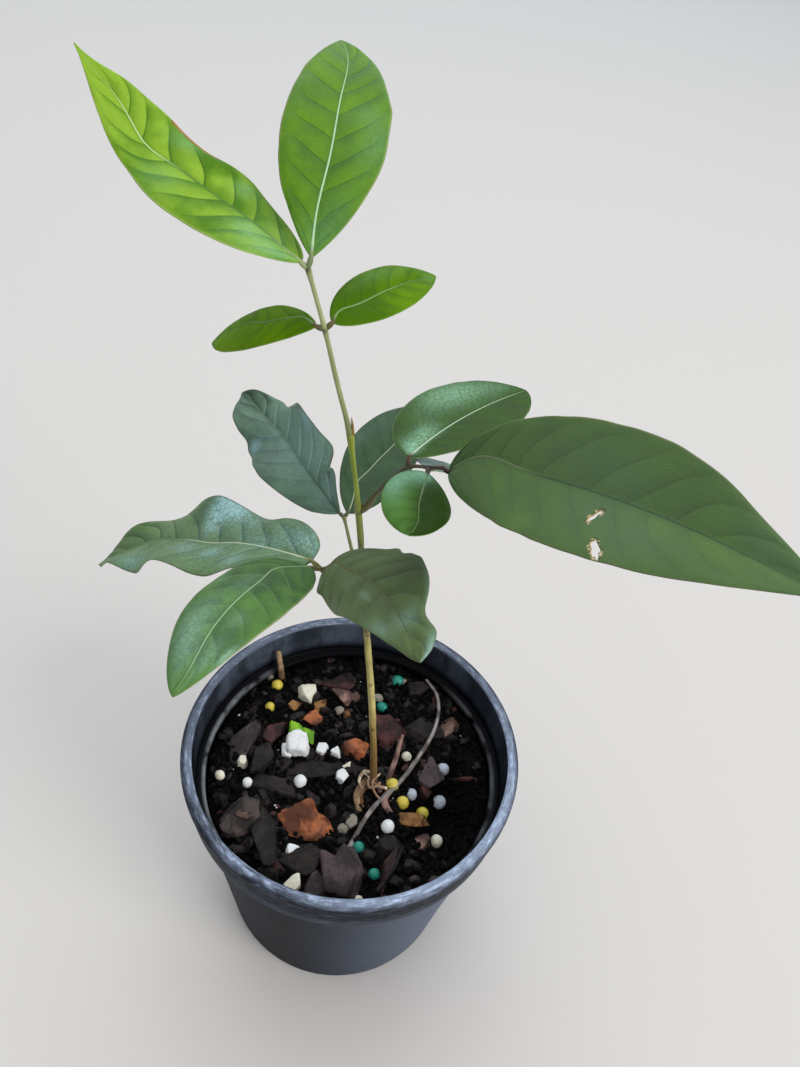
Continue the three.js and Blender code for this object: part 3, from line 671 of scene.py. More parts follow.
def bladeMesh(leaf, seed):
    # rings run over the upper face from the left margin to the right one and back below
    rows, across = leafBuild["rows"], leafBuild["across"]
    even = np.linspace(0, 1, rows)
    alongBlade = 0.65 * even + 0.35 * (0.5 - 0.5 * np.cos(np.pi * even))
    spread = np.linspace(1, -1, across)
    top = spread * (1.25 - 0.25 * spread ** 2)
    face = np.concatenate([np.ones(across), -np.ones(across - 2)])
    u, v = np.meshgrid(alongBlade, np.concatenate([top, top[-2:0:-1]]), indexing="ij")
    middle, up = bladePoints(leaf, seed, u, v)
    thick = 0.5 * leafBuild["thickness"] * np.sqrt(np.clip(1 - np.abs(v) ** 10, 0, 1))
    points, faces = loft(toWorld(leaf, middle + up * (face * thick)[..., None]))
    # material 0 is the upper face and 2 the underside, which the margin's own faces belong to
    underside = np.append((face[:-1] < 0) | (face[1:] < 0), True)
    index = np.concatenate([np.tile(np.where(underside, 2, 0), rows - 1), np.zeros(2 * len(face), int)])
    return points, faces, index, u, v


def ribMesh(leaf, seed):
    # a tube that starts at the fork as the leaflet's stalk and thins towards the tip
    share = np.linspace(0, leafBuild["ribEnd"], leafBuild["ribSteps"])
    middle, up = bladePoints(leaf, seed, share, np.zeros_like(share))
    radius = leafBuild["ribRadius"] * (1 - share) ** 0.6 + 0.06 + 0.1 * (1 - smooth(share, 0, 0.12))
    sink = radius - leafBuild["thickness"] / 2 - leafBuild["ribProud"] * (1 - 0.6 * share)
    path = toWorld(leaf, middle - up * (sink * smooth(share, 0, 0.08))[:, None])
    toFork = np.array(forks[leaf["fork"]]) - path[0]
    reach = np.linalg.norm(toFork) - leafBuild["pieceOfFork"]
    steps = np.linspace(1, 0, leafBuild["stalkSteps"], endpoint=False)
    stalk = path[0] + unit(toFork) * reach * steps[:, None]
    swollen = leafBuild["stalkRadius"] * (1 + 0.35 * np.sin(np.pi * steps))
    sides = leafBuild["ribSides"]
    points, faces = loft(tubeRings(np.concatenate([stalk, path]), np.concatenate([swollen, radius]), sides))
    return points, faces, np.repeat(np.concatenate([0 * steps, share]), sides)


def addLeaf(name, leaf, seed, finish):
    bladePoint, bladeFaces, bladeIndex, u, v = bladeMesh(leaf, seed)
    ribPoint, ribFaces, ribPlace = ribMesh(leaf, seed)
    points, faces = joined([(bladePoint, bladeFaces), (ribPoint, ribFaces)])
    index = np.concatenate([bladeIndex, np.ones(len(ribFaces), int)])
    ends = [[0, 0.5], [1, 0.5]]
    uv = np.concatenate([np.stack([u.ravel(), 0.5 + 0.5 * v.ravel()], -1), ends,
                         np.stack([ribPlace, np.full(len(ribPlace), 0.5)], -1), ends])
    masks = {"phase": veinPhase(leaf, seed, u, v), "burn": burntShare(leaf, u, v),
             **{kind: spots(leaf, kind, u, v) for kind in ("tone", "paintedSheen", "lines")}}
    rest = np.zeros(len(points) - u.size)
    masks = {mask: np.concatenate([values.ravel(), rest]) for mask, values in masks.items()}
    return addPiece(name + "_blade", points, faces, finish, stands=[name],
                    slot="young_leaf" if leaf["look"].startswith("young") else "dark_leaf",
                    materialIndex=index, uv=uv, masks=masks)


plainLook = {
    # how wide the side veins are, how cloudy the blade is, how strong the painted shade is that falls
    # across each panel from one vein to the next, where the stalk's color ends along the midrib, and
    # where the midrib fades into the blade
    "veinWidth": 0.1, "clouds": 0.4, "paintedSlope": 0.35, "stalkEnd": 0.05, "fade": (0.85, 1.0),
    # how fine the net of veins and the clouds are
    "netScale": 700.0, "cloudScale": 130.0,
    # the brown and the tan of dried stretches
    "scorch": ((0.26, 0.12, 0.035), (0.42, 0.21, 0.08)),
}
leafLooks = {
    # light and deep: the blade's two greens. veins: the side veins' color on the left and right,
    # and how strong they are there. rib: the midrib's color at its base and tip, and where one
    # turns into the other. net: how much the fine net shows. gloss: the specular level. Each look
    # has the plain one's settings where it gives none of its own
    # sheenTint: the color of the painted sheen, a pale shine painted where the blade would reflect the
    # bright back
    "youngBlotched": {
        "light": (0.235, 0.41, 0.03), "deep": (0.065, 0.18, 0.004),
        "veins": ((0.04, 0.13, 0.01), (0.03, 0.1, 0.008)), "veinWidth": 0.06,
        # the midrib's dark base is a painted shadow in the groove it runs along
        "veinStrength": (0.65, 0.7), "rib": ((0.06, 0.16, 0.02), (0.5, 0.64, 0.32)), "turn": (0.46, 0.6),
        "stalk": (0.3, 0.38, 0.18), "stalkEnd": 0.2, "fade": (0.72, 0.86), "clouds": 0.5, "paintedSlope": 0.95,
        "edge": (0.42, 0.52, 0.16), "sheenTint": (0.22, 0.46, 0.2), "rough": 0.45,
        "net": 0.15, "gloss": 0.06},
    "youngVeined": {
        "light": (0.135, 0.3, 0.004), "deep": (0.055, 0.155, 0.012),
        "veins": ((0.025, 0.09, 0.01), (0.025, 0.09, 0.015)), "veinWidth": 0.05,
        "veinStrength": (0.6, 0.65), "rib": ((0.42, 0.62, 0.38), (0.2, 0.38, 0.1)), "turn": (0.55, 0.95),
        "stalk": (0.2, 0.26, 0.12), "edge": (0.34, 0.4, 0.15), "sheenTint": (0.16, 0.36, 0.16), "rough": 0.45,
        "paintedSlope": 0.5, "net": 0.2, "gloss": 0.12},
    "youngSmall": {
        "light": (0.14, 0.29, 0.002), "deep": (0.06, 0.145, 0.002),
        "veins": ((0.03, 0.09, 0.015), (0.03, 0.09, 0.015)),
        "veinStrength": (0.3, 0.3), "rib": ((0.17, 0.32, 0.1), (0.08, 0.18, 0.03)), "turn": (0.4, 0.8),
        "stalk": (0.12, 0.1, 0.04), "edge": (0.25, 0.36, 0.12), "sheenTint": (0.2, 0.4, 0.2), "rough": 0.45,
        "net": 0.15, "gloss": 0.04},
    "silvery": {
        "light": (0.055, 0.135, 0.012), "deep": (0.024, 0.062, 0.006),
        "veins": ((0.1, 0.2, 0.11), (0.05, 0.1, 0.04)),
        "veinStrength": (0.15, 0.2), "rib": ((0.5, 0.64, 0.46), (0.42, 0.56, 0.36)), "turn": (0.6, 0.9),
        "stalk": (0.07, 0.05, 0.025), "edge": (0.22, 0.3, 0.14), "sheenTint": (0.24, 0.46, 0.3), "rough": 0.5,
        "clouds": 0.3, "paintedSlope": 0.2, "net": 0.4, "gloss": 0.1},
    "mature": {
        "light": (0.092, 0.212, 0.042), "deep": (0.036, 0.092, 0.022),
        "veins": ((0.12, 0.22, 0.1), (0.1, 0.2, 0.09)),
        "veinStrength": (0.4, 0.35), "rib": ((0.22, 0.34, 0.19), (0.3, 0.46, 0.26)), "turn": (0.3, 0.7),
        "stalk": (0.13, 0.13, 0.05), "edge": (0.34, 0.38, 0.18), "sheenTint": (0.24, 0.42, 0.3), "rough": 0.48,
        "paintedSlope": 0.6, "clouds": 0.6, "net": 0.22, "gloss": 0.18},
    "smoothSmall": {
        "light": (0.085, 0.22, 0.035), "deep": (0.016, 0.045, 0.001),
        "veins": ((0.04, 0.1, 0.02), (0.05, 0.12, 0.04)),
        "veinStrength": (0.1, 0.1), "rib": ((0.1, 0.17, 0.07), (0.06, 0.13, 0.02)), "turn": (0.3, 0.7),
        "stalk": (0.04, 0.03, 0.015), "edge": (0.1, 0.2, 0.05), "sheenTint": (0.2, 0.42, 0.28), "rough": 0.5,
        "clouds": 0.12, "paintedSlope": 0.1, "net": 0.08, "gloss": 0.05},
    "matteLarge": {
        "light": (0.115, 0.21, 0.055), "deep": (0.078, 0.145, 0.055),
        "veins": ((0.055, 0.11, 0.045), (0.06, 0.12, 0.05)),
        "veinStrength": (0.13, 0.22), "rib": ((0.17, 0.22, 0.11), (0.045, 0.09, 0.045)),
        "turn": (0.28, 0.42), "clouds": 0.3,
        "stalk": (0.04, 0.02, 0.012), "edge": (0.17, 0.18, 0.08), "sheenTint": (0.12, 0.2, 0.15),
        "rough": 0.55, "paintedSlope": 0.3, "net": 0.05, "gloss": 0.2,
        "scorch": ((0.5, 0.4, 0.21), (0.68, 0.57, 0.38))},
    "blueGreen": {
        "light": (0.12, 0.215, 0.14), "deep": (0.038, 0.076, 0.05),
        "veins": ((0.16, 0.27, 0.21), (0.26, 0.4, 0.33)),
        "veinStrength": (0.4, 0.5), "rib": ((0.06, 0.12, 0.05), (0.15, 0.25, 0.14)), "turn": (0.25, 0.7),
        "stalk": (0.1, 0.1, 0.06), "edge": (0.06, 0.07, 0.04), "sheenTint": (0.24, 0.4, 0.42), "rough": 0.45,
        "paintedSlope": 0.9, "clouds": 0.55, "net": 0.25, "gloss": 0.22,
        "scorch": ((0.1, 0.055, 0.04), (0.15, 0.08, 0.06))},
    "darkGreen": {
        "light": (0.072, 0.128, 0.06), "deep": (0.03, 0.066, 0.034),
        "veins": ((0.06, 0.1, 0.05), (0.06, 0.1, 0.05)),
        "veinStrength": (0.25, 0.25), "rib": ((0.26, 0.33, 0.2), (0.24, 0.32, 0.2)), "turn": (0.4, 0.8),
        "stalk": (0.08, 0.09, 0.045), "edge": (0.03, 0.05, 0.02), "sheenTint": (0.18, 0.28, 0.24),
        "rough": 0.5, "net": 0.25, "gloss": 0.12},
    "speckled": {
        "light": (0.155, 0.265, 0.095), "deep": (0.062, 0.125, 0.042),
        "veins": ((0.3, 0.42, 0.26), (0.02, 0.055, 0.02)),
        "veinStrength": (0.35, 0.6), "rib": ((0.55, 0.64, 0.42), (0.11, 0.22, 0.08)), "turn": (0.42, 0.58),
        "stalk": (0.2, 0.2, 0.06), "edge": (0.07, 0.06, 0.03), "sheenTint": (0.32, 0.54, 0.56), "rough": 0.42,
        "paintedSlope": 0.6, "net": 0.52, "gloss": 0.22},
    "bronzed": {
        "light": (0.11, 0.175, 0.06), "deep": (0.065, 0.098, 0.038),
        "veins": ((0.1, 0.15, 0.09), (0.1, 0.15, 0.09)),
        "veinStrength": (0.22, 0.2), "rib": ((0.085, 0.08, 0.015), (0.09, 0.12, 0.04)), "turn": (0.3, 0.7),
        "stalk": (0.12, 0.1, 0.04), "edge": (0.12, 0.14, 0.08), "sheenTint": (0.3, 0.5, 0.46), "rough": 0.48,
        "paintedSlope": 0.45, "net": 0.15, "gloss": 0.18},
}
undersideLook = {
    "light": (0.2, 0.3, 0.13), "deep": (0.13, 0.22, 0.08), "vein": (0.3, 0.4, 0.2), "rough": 0.6,
    "netScale": 900.0, "cloudScale": 90.0, "veinWidth": 0.08,
}
tornLook = {"deep": (0.42, 0.28, 0.13), "light": (0.7, 0.55, 0.34), "rough": 0.8}


def veinGroup():
    # vein lines where the piece's phase is a whole number, fading towards the margin and the tip, and
    # painted shade for the quilting: a swell that is light between the veins and dark at them, and a
    # slope, which is light just beyond a vein and falls until the next
    group, given, out = newGroup("veinLines", {"Width": "Float"}, {
        "Line": "Float", "Panel": "Float", "Slope": "Float", "Right": "Float", "Rib Shade": "Float",
        "Margin": "Float"})
    u, side = surfaceAxes(group)[:2]
    v = scaled(group, side, 2.0, -1.0)
    across = calc(group, "ABSOLUTE", v)
    phase = attribute(group, "phase")
    away = calc(group, "PINGPONG", phase, 0.5)
    line = calc(group, "SUBTRACT", 1.0, smoothStep(group, away, 0.0, given["Width"]))
    falling = scaled(group, calc(group, "FRACT", phase), -1.0, 0.5)
    setInputs(group, out, {
        "Line": times(group, line, smoothStep(group, across, 0.95, 0.45), smoothStep(group, u, 0.95, 0.75)),
        "Panel": times(group, away, 2.0),
        "Slope": times(group, falling, smoothStep(group, across, 1.0, 0.6)),
        "Right": calc(group, "LESS_THAN", v, 0.0),
        "Rib Shade": smoothStep(group, across, 0.12, 0.0),
        "Margin": smoothStep(group, across, 0.95, 0.995)})
    return group


def netGroup():
    # the fine net of veins inside the panels, cloudy patches, specks that break up the painted
    # sheen, and a leathery grain
    group, given, out = newGroup("veinNet", {"Cells": "Float", "Clouds": "Float"},
                                 {"Net": "Float", "Cloud": "Float", "Speck": "Float", "Grain": "Float"})
    place = objectPlace(group)
    edge = addNode(group, "TexVoronoi", {"Vector": place, "Scale": given["Cells"]}, "Distance",
                   feature="DISTANCE_TO_EDGE")
    setInputs(group, out, {
        "Net": smoothStep(group, edge, 0.12, 0.0),
        "Cloud": patches(group, place, given["Clouds"], 4.0, 0.6, 0.35, 0.65),
        "Speck": patches(group, place, 1900.0, 3.0, 0.7, 0.36, 0.64),
        "Grain": noise(group, place, 1800.0, 2.0, 0.6)})
    return group


veinLines, veinNet = veinGroup(), netGroup()


def burntColor(tree, green, scorch):
    # dried stretches turn from the first scorched color to the second, with a ragged border
    ragged = scaled(tree, noise(tree, objectPlace(tree), 500.0), 0.6, -0.3)
    dry = calc(tree, "ADD", attribute(tree, "burn"), ragged)
    brown = mixColor(tree, smoothStep(tree, dry, 0.6, 0.95), *scorch)
    return mixColor(tree, smoothStep(tree, dry, 0.35, 0.6), green, brown)


def bladeMaterial(name, look):
    material, tree, shader = newMaterial(name, gloss=look["gloss"])
    veins = useGroup(tree, veinLines, Width=look["veinWidth"])
    net = useGroup(tree, veinNet, Cells=look["netScale"], Clouds=look["cloudScale"])
    # tone: the leaf's own spots, clouds, and painted shade on the panels that swell between the veins
    panels = scaled(tree, veins["Panel"], 0.15, times(tree, veins["Slope"], look["paintedSlope"]))
    clouds = scaled(tree, net["Cloud"], look["clouds"], panels)
    tone = calc(tree, "ADD", clouds, scaled(tree, attribute(tree, "tone"), 0.5, 0.1))
    green = mixColor(tree, tone, look["deep"], look["light"])
    green = mixColor(tree, times(tree, net["Net"], look["net"] * 0.45), green, look["deep"])
    left, right = look["veinStrength"]
    strength = scaled(tree, veins["Right"], right - left, left)
    shown = times(tree, veins["Line"], strength, calc(tree, "ADD", attribute(tree, "lines"), 1.0))
    green = mixColor(tree, shown, green, mixColor(tree, veins["Right"], *look["veins"]))
    green = mixColor(tree, times(tree, veins["Rib Shade"], 0.35), green, look["deep"])
    # painted sheen: a pale reflection painted in specks, thinner over the net of veins
    specks = scaled(tree, net["Speck"], 0.5, 0.68)
    sheenShare = times(tree, attribute(tree, "paintedSheen"), specks, scaled(tree, net["Net"], -1.3 * look["net"], 1.0))
    green = mixColor(tree, sheenShare, green, look["sheenTint"])
    green = mixColor(tree, times(tree, veins["Margin"], 0.55), green, look["edge"])
    cloudy = scaled(tree, net["Cloud"], 0.1, look["rough"] - 0.05)
    meshed = bump(tree, net["Net"], 0.2, 0.00012, bump(tree, net["Grain"], 0.15, 0.00012))
    setInputs(tree, shader, {
        "Base Color": burntColor(tree, green, look["scorch"]),
        "Roughness": scaled(tree, net["Net"], 0.1, cloudy),
        "Normal": bump(tree, veins["Line"], 0.4, -0.00012, meshed)})
    return material


def ribMaterial(name, look):
    # the stalk's color at the fork, then the midrib's own two, fading into the blade at the tip
    material, tree, shader = newMaterial(name, 0.45, 0.3)
    u = surfaceAxes(tree)[0]
    rib = mixColor(tree, smoothStep(tree, u, *look["turn"]), *look["rib"])
    rib = mixColor(tree, smoothStep(tree, u, 0.0, look["stalkEnd"]), look["stalk"], rib)
    setInputs(tree, shader, {
        "Base Color": mixColor(tree, smoothStep(tree, u, *look["fade"], 0.0, 0.85), rib, look["light"]),
        "Normal": bump(tree, noise(tree, objectPlace(tree), 1500.0), 0.2, 0.0001)})
    return material


def undersideMaterial(name, scorch):
    material, tree, shader = newMaterial(name, undersideLook["rough"])
    veins = useGroup(tree, veinLines, Width=undersideLook["veinWidth"])
    net = useGroup(tree, veinNet, Cells=undersideLook["netScale"], Clouds=undersideLook["cloudScale"])
    green = mixColor(tree, net["Cloud"], undersideLook["deep"], undersideLook["light"])
    green = mixColor(tree, times(tree, net["Net"], 0.25), green, undersideLook["vein"])
    green = mixColor(tree, times(tree, veins["Line"], 0.7), green, undersideLook["vein"])
    setInputs(tree, shader, {
        "Base Color": burntColor(tree, green, scorch),
        "Normal": bump(tree, veins["Line"], 0.4, 0.0002, bump(tree, net["Net"], 0.1, 0.0001))})
    return material


def tornEdgeMaterial():
    material, tree, shader = newMaterial("tornEdge", tornLook["rough"])
    patchy = noise(tree, objectPlace(tree), 700.0)
    setInputs(tree, shader, {"Base Color": mixColor(tree, patchy, tornLook["deep"], tornLook["light"])})
    return material


def addSlits(piece, leaf, seed):
    # cuts each slit with a flat oval column that passes through the blade
    tornEdge = tornEdgeMaterial()
    piece.data.materials.append(tornEdge)
    for slit in leaf["slits"]:
        at, across = np.array([slit["at"]]), np.array([slit["across"]])
        middle = bladePoints(leaf, seed, at, across)[0]
        along, right, up = bladeAxes(leaf, at)
        turn = np.radians(slit["turn"])
        lengthwise = along * np.cos(turn) - right * np.sin(turn)
        crosswise = along * np.sin(turn) + right * np.cos(turn)
        angle = roundAngles(28)
        jag = 0.5 + 0.08 * np.sin(5 * angle + slit["turn"]) + 0.05 * np.sin(9 * angle)
        outline = (np.cos(angle) * jag * slit["length"])[:, None] * lengthwise \
            + (np.sin(angle) * jag * slit["width"])[:, None] * crosswise
        rings = np.stack([middle + outline + up * 3, middle + outline - up * 3])
        cutter = addMesh("slitCutter", *loft(toWorld(leaf, rings)), [tornEdge])
        cut = piece.modifiers.new("slit", "BOOLEAN")
        cut.operation = "DIFFERENCE"
        cut.solver = "EXACT"
        cut.material_mode = "TRANSFER"
        cut.object = cutter
        with bpy.context.temp_override(object=piece):
            bpy.ops.object.modifier_apply(modifier=cut.name)
        bpy.data.objects.remove(cutter)


def addLeaves():
    for number, (name, settings) in enumerate(leaves.items()):
        leaf = {**plainLeaf, **settings}
        look = {**plainLook, **leafLooks[leaf["look"]]}
        seed = leafBuild["seedStep"] * number
        finish = [bladeMaterial(name + "_upper", look), ribMaterial(name + "_midrib", look),
                  undersideMaterial(name + "_under", look["scorch"])]
        piece = addLeaf(name, leaf, seed, finish)
        if leaf["slits"]:
            addSlits(piece, leaf, seed)


addLeaves()
print("leaflets ready:", len(leaves))


# Pot: a tapered wall under a collar that carries a rolled lip

pot = {
    "height": 92, "lipOuter": 57.5, "lipInner": 53.4, "lipDrop": 3.4, "collarHeight": 16,
    "collarOuter": 55.8, "ledgeInner": 50.3, "wallTop": 52.8, "base": 43.6, "wall": 1.6, "floor": 2.4,
    "ledgeRise": 0.8,               # of the ledge inside over the collar's foot outside
    "sides": 240, "step": 1.2,      # points round the pot, and the longest step along its outline
    "outOfRound": 0.3, "dents": 0.12,
}


def roundedOutline(corners, step):
    # corners are (radius, height, rounding): each is replaced by a quadratic curve between the two
    # points that lie its rounding away from it, and straight stretches are cut into short steps
    corners = np.array(corners, float)
    point, reach = corners[:, :2], corners[:, 2:]
    ends = np.concatenate([point[:1], point, point[-1:]])
    start, end = [point + (near - point) / np.maximum(np.linalg.norm(near - point, axis=1)[:, None], 1e-9)
                  * reach for near in (ends[:-2], ends[2:])]
    t = np.linspace(0, 1, 9)[None, :, None]
    curve = (1 - t) ** 2 * start[:, None] + 2 * t * (1 - t) * point[:, None] + t ** 2 * end[:, None]
    outline = curve.reshape(-1, 2)
    length = lengthAlong(outline)
    keep = np.append(np.diff(length) > 1e-6, True)
    outline, length = outline[keep], length[keep]
    places = np.unique(np.concatenate([length, np.arange(0, length[-1], step)]))
    places = places[np.append(np.diff(places) > 0.02, True)]
    return readAlong(places, length, outline)


def innerRadius(height):
    # the inner wall runs straight from the floor to the ledge under the collar
    ledge = pot["height"] - pot["collarHeight"] + pot["ledgeRise"]
    share = (height - pot["floor"]) / (ledge - pot["floor"])
    return pot["base"] - pot["wall"] + (pot["ledgeInner"] - pot["base"] + pot["wall"]) * share


def addPot(materials):
    top, collarFoot = pot["height"], pot["height"] - pot["collarHeight"]
    ledge = collarFoot + pot["ledgeRise"]
    outline = roundedOutline([
        (0.4, 0, 0), (pot["base"] - 0.9, 0, 0.3), (pot["base"] + 0.1, 1.2, 0.8),
        (pot["wallTop"], collarFoot - 1.2, 0.8), (pot["collarOuter"] - 0.6, collarFoot - 0.2, 0.5),
        (pot["collarOuter"], collarFoot + 0.9, 0.5),
        (pot["collarOuter"] + 0.7, top - pot["lipDrop"] - 1.6, 1.0),
        (pot["lipOuter"] - 0.2, top - pot["lipDrop"] - 0.5, 0.8),
        (pot["lipOuter"] + 0.1, top - 0.1, 1.9), (pot["lipInner"] + 0.1, top - 0.1, 1.7),
        (pot["lipInner"] - 0.3, ledge + 1.0, 0.7), (pot["ledgeInner"], ledge, 0.5),
        (innerRadius(pot["floor"]), pot["floor"], 0.8), (0.4, pot["floor"], 0)], pot["step"])
    angle = roundAngles(pot["sides"])
    radius, height = [np.repeat(side[:, None], len(angle), 1) for side in outline.T]
    # moulded thin, the mouth is a little out of round and the wall has shallow dents
    rise = smooth(height, 0, top)
    wobble = np.sin(2 * angle + 0.7) * pot["outOfRound"] * rise
    dent = drumNoise(angle, 2.2, height / 22, 2, 4) * pot["dents"] * smooth(height, 2, 12)
    radius = radius + (wobble + dent) * smooth(radius, 20, 42)
    rings = np.stack([radius * np.cos(angle), radius * np.sin(angle),
                      height - 0.12 * rise * (1 + np.sin(3 * angle + 1.1))], -1)
    # from the lip's inner edge on, the faces belong to the inside
    crest = np.argmax(outline[:, 1])
    inward = crest + np.argmax(outline[crest:, 0] < pot["lipInner"] + 0.4)
    index = np.repeat(np.arange(len(outline) - 1) >= inward, len(angle)).astype(int)
    index = np.concatenate([index, np.zeros(len(angle), int), np.ones(len(angle), int)])
    return addPiece("nursery_pot", *loft(rings), materials, ["pot"], "pot_plastic", index)


potFinish = {
    "deep": (0.004, 0.005, 0.008), "light": (0.013, 0.016, 0.024), "wearAndLightTint": (0.24, 0.29, 0.4),
    "paintedHighlight": (0.58, 0.7, 0.96), "gloss": 0.05,
    "streakScale": 900.0, "bareScale": 330.0, "cloudScale": 45.0, "nickScale": 500.0,
    "grainScale": 1600.0,
}
potInsideFinish = {
    "deep": (0.001, 0.0013, 0.0025), "haze": (0.085, 0.105, 0.145), "paintedHighlight": (0.2, 0.21, 0.235),
    "rough": 0.5, "gloss": 0.08, "cloudScale": 60.0, "rubScale": 90.0,
}


def potMaterial():
    # satin black plastic: cloudy wear, streaks round the wall and the collar, painted light on the
    # wall's right side, and a painted pale blue grey highlight on the lip, with scuffs in it, most of all at
    # the front. Heights and distances are in metres
    material, tree, shader = newMaterial("potPlastic", gloss=potFinish["gloss"])
    place = objectPlace(tree)
    x, y, z, radius = axesAndRadius(tree, place)
    # the same place with its way round the pot shortened, so that noise turns into streaks
    around = times(tree, calc(tree, "ARCTAN2", y, x), 0.012)
    wrapped = addNode(tree, "CombineXYZ", {0: around, 1: radius, 2: z})
    cloud = noise(tree, place, potFinish["cloudScale"], 5.0, 0.6)
    streak = patches(tree, wrapped, potFinish["streakScale"], 5.0, 0.7, 0.45, 0.68)
    nick = patches(tree, place, potFinish["nickScale"], 4.0, 0.7, 0.55, 0.7)
    plastic = mixColor(tree, smoothStep(tree, cloud, 0.35, 0.7), potFinish["deep"], potFinish["light"])
    # wear in the collar's streaks, a painted highlight along its foot and painted light on the right
    # side of the wall, all in one pale tint
    collar = smoothStep(tree, z, 0.0745, 0.077)
    worn = times(tree, streak, scaled(tree, collar, 0.14, 0.03))
    foot = times(tree, smoothStep(tree, z, 0.074, 0.0765), smoothStep(tree, z, 0.082, 0.0785))
    worn = scaled(tree, foot, 0.12, worn)
    paintedLitSide = times(tree, smoothStep(tree, x, -0.02, 0.045, 0.0, 0.42), calc(tree, "SUBTRACT", 1.0, collar))
    plastic = mixColor(tree, calc(tree, "ADD", worn, paintedLitSide), plastic, potFinish["wearAndLightTint"])
    # the lip's painted highlight, with scuffs and nicks in it, grows from the back left to the front
    # right, and its front left keeps dark patches
    crest = times(tree, smoothStep(tree, z, 0.0901, 0.0914),
                  smoothStep(tree, radius, 0.0571, 0.0555, 0.25, 1.0))
    front = smoothStep(tree, scaled(tree, x, 0.4, times(tree, y, -1.0)), -0.03, 0.045, 0.4, 1.0)
    bare = times(tree, patches(tree, wrapped, potFinish["bareScale"], 4.0, 0.7, 0.42, 0.56),
                 smoothStep(tree, x, 0.02, -0.02), smoothStep(tree, y, -0.02, -0.035))
    paintedHighlight = scaled(tree, streak, 0.5, scaled(tree, nick, 0.2, 0.42))
    paintedHighlight = times(tree, paintedHighlight, scaled(tree, bare, -0.75, 1.0), crest, front)
    grain = bump(tree, noise(tree, place, potFinish["grainScale"], 2.0), 0.12, 0.0001)
    setInputs(tree, shader, {
        "Base Color": mixColor(tree, paintedHighlight, plastic, potFinish["paintedHighlight"]),
        "Roughness": scaled(tree, cloud, 0.3, 0.34),
        "Normal": bump(tree, calc(tree, "ADD", streak, nick), 0.12, -0.0001, grain)})
    return material


def potInsideMaterial():
    # nearly black, with a blue grey haze and clouds under the lip at the back, and a painted grey
    # highlight on the ledge's inner edge at both sides, weaker on the right. Heights and distances are in
    # metres
    material, tree, shader = newMaterial("potInside", potInsideFinish["rough"], potInsideFinish["gloss"])
    place = objectPlace(tree)
    x, y, z, radius = axesAndRadius(tree, place)
    cloud = patches(tree, objectPlace(tree, (1, 1, 0.5)), potInsideFinish["cloudScale"], 5.0, 0.65,
                    0.4, 0.66, 0.3, 1.0)
    haze = times(tree, cloud, smoothStep(tree, y, -0.02, 0.03, 0.05, 0.9), smoothStep(tree, z, 0.078, 0.083))
    hollow = mixColor(tree, haze, potInsideFinish["deep"], potInsideFinish["haze"])
    paintedHighlight = times(tree, smoothStep(tree, z, 0.0775, 0.077), smoothStep(tree, z, 0.0745, 0.0765),
                   smoothStep(tree, radius, 0.0522, 0.0508),
                   smoothStep(tree, calc(tree, "ABSOLUTE", x), 0.03, 0.042),
                   patches(tree, place, potInsideFinish["rubScale"], 3.0, 0.5, 0.35, 0.55),
                   smoothStep(tree, x, -0.02, 0.02, 1.0, 0.45))
    setInputs(tree, shader, {"Base Color": mixColor(tree, paintedHighlight, hollow, potInsideFinish["paintedHighlight"])})
    return material


addPot([potMaterial(), potInsideMaterial()])
print("pot ready")


# Potting soil: an uneven bed, crumbs and bits of bark strewn over it, and what lies on top

soil = {
    "top": 75.2, "foot": 2.8, "gap": 0.35, "rings": 130, "columns": 340,
    "hills": 1.3, "lumps": 1.2, "grit": 0.5,
    "hollow": {"at": (36, -15), "reach": 23, "depth": 9},
    "wallDip": 1.6,
}
random = np.random.default_rng(11)


def soilHeight(x, y):
    # hills, lumps and grit added up, with a hollow at one side and a dip along the wall
    height = soil["hills"] * flatNoise(x, y, 17, 2, 1) + soil["lumps"] * flatNoise(x, y, 5.5, 2, 2)
    height = height + soil["grit"] * flatNoise(x, y, 1.7, 2, 3)
    centre, reach = soil["hollow"]["at"], soil["hollow"]["reach"]
    away = np.hypot(x - centre[0], (y - centre[1]) * 0.7)
    height = height - soil["hollow"]["depth"] * (1 - smooth(away, 0, reach))
    return soil["top"] + height - soil["wallDip"] * smooth(np.hypot(x, y), 46.5, 50.5)


def addSoilBed(material):
    angle = roundAngles(soil["columns"])
    edge, foot = [innerRadius(soil[level]) - soil["gap"] for level in ("top", "foot")]
    inward = np.linspace(1, 0.004, soil["rings"]) * edge
    radius = np.concatenate([[0.4, foot, foot + 0.5 * (edge - foot)], inward])
    x, y = radius[:, None] * np.cos(angle), radius[:, None] * np.sin(angle)
    height = soilHeight(x, y)
    height[:2] = soil["foot"]
    height[2] = 0.5 * (soil["foot"] + soil["top"])
    return addPiece("soil_bed", *loft(np.stack([x, y, height], -1)), [material], ["potting_soil"],
                    "potting_mix")


def ballRings(rows, columns):
    # directions from a middle, on circles of latitude from the bottom to the top
    latitude = np.linspace(-0.5, 0.5, rows + 2)[1:-1] * np.pi
    angle = roundAngles(columns)
    reach = np.cos(latitude)[:, None]
    height = np.repeat(np.sin(latitude)[:, None], columns, 1)
    return np.stack([reach * np.cos(angle), reach * np.sin(angle), height], -1)


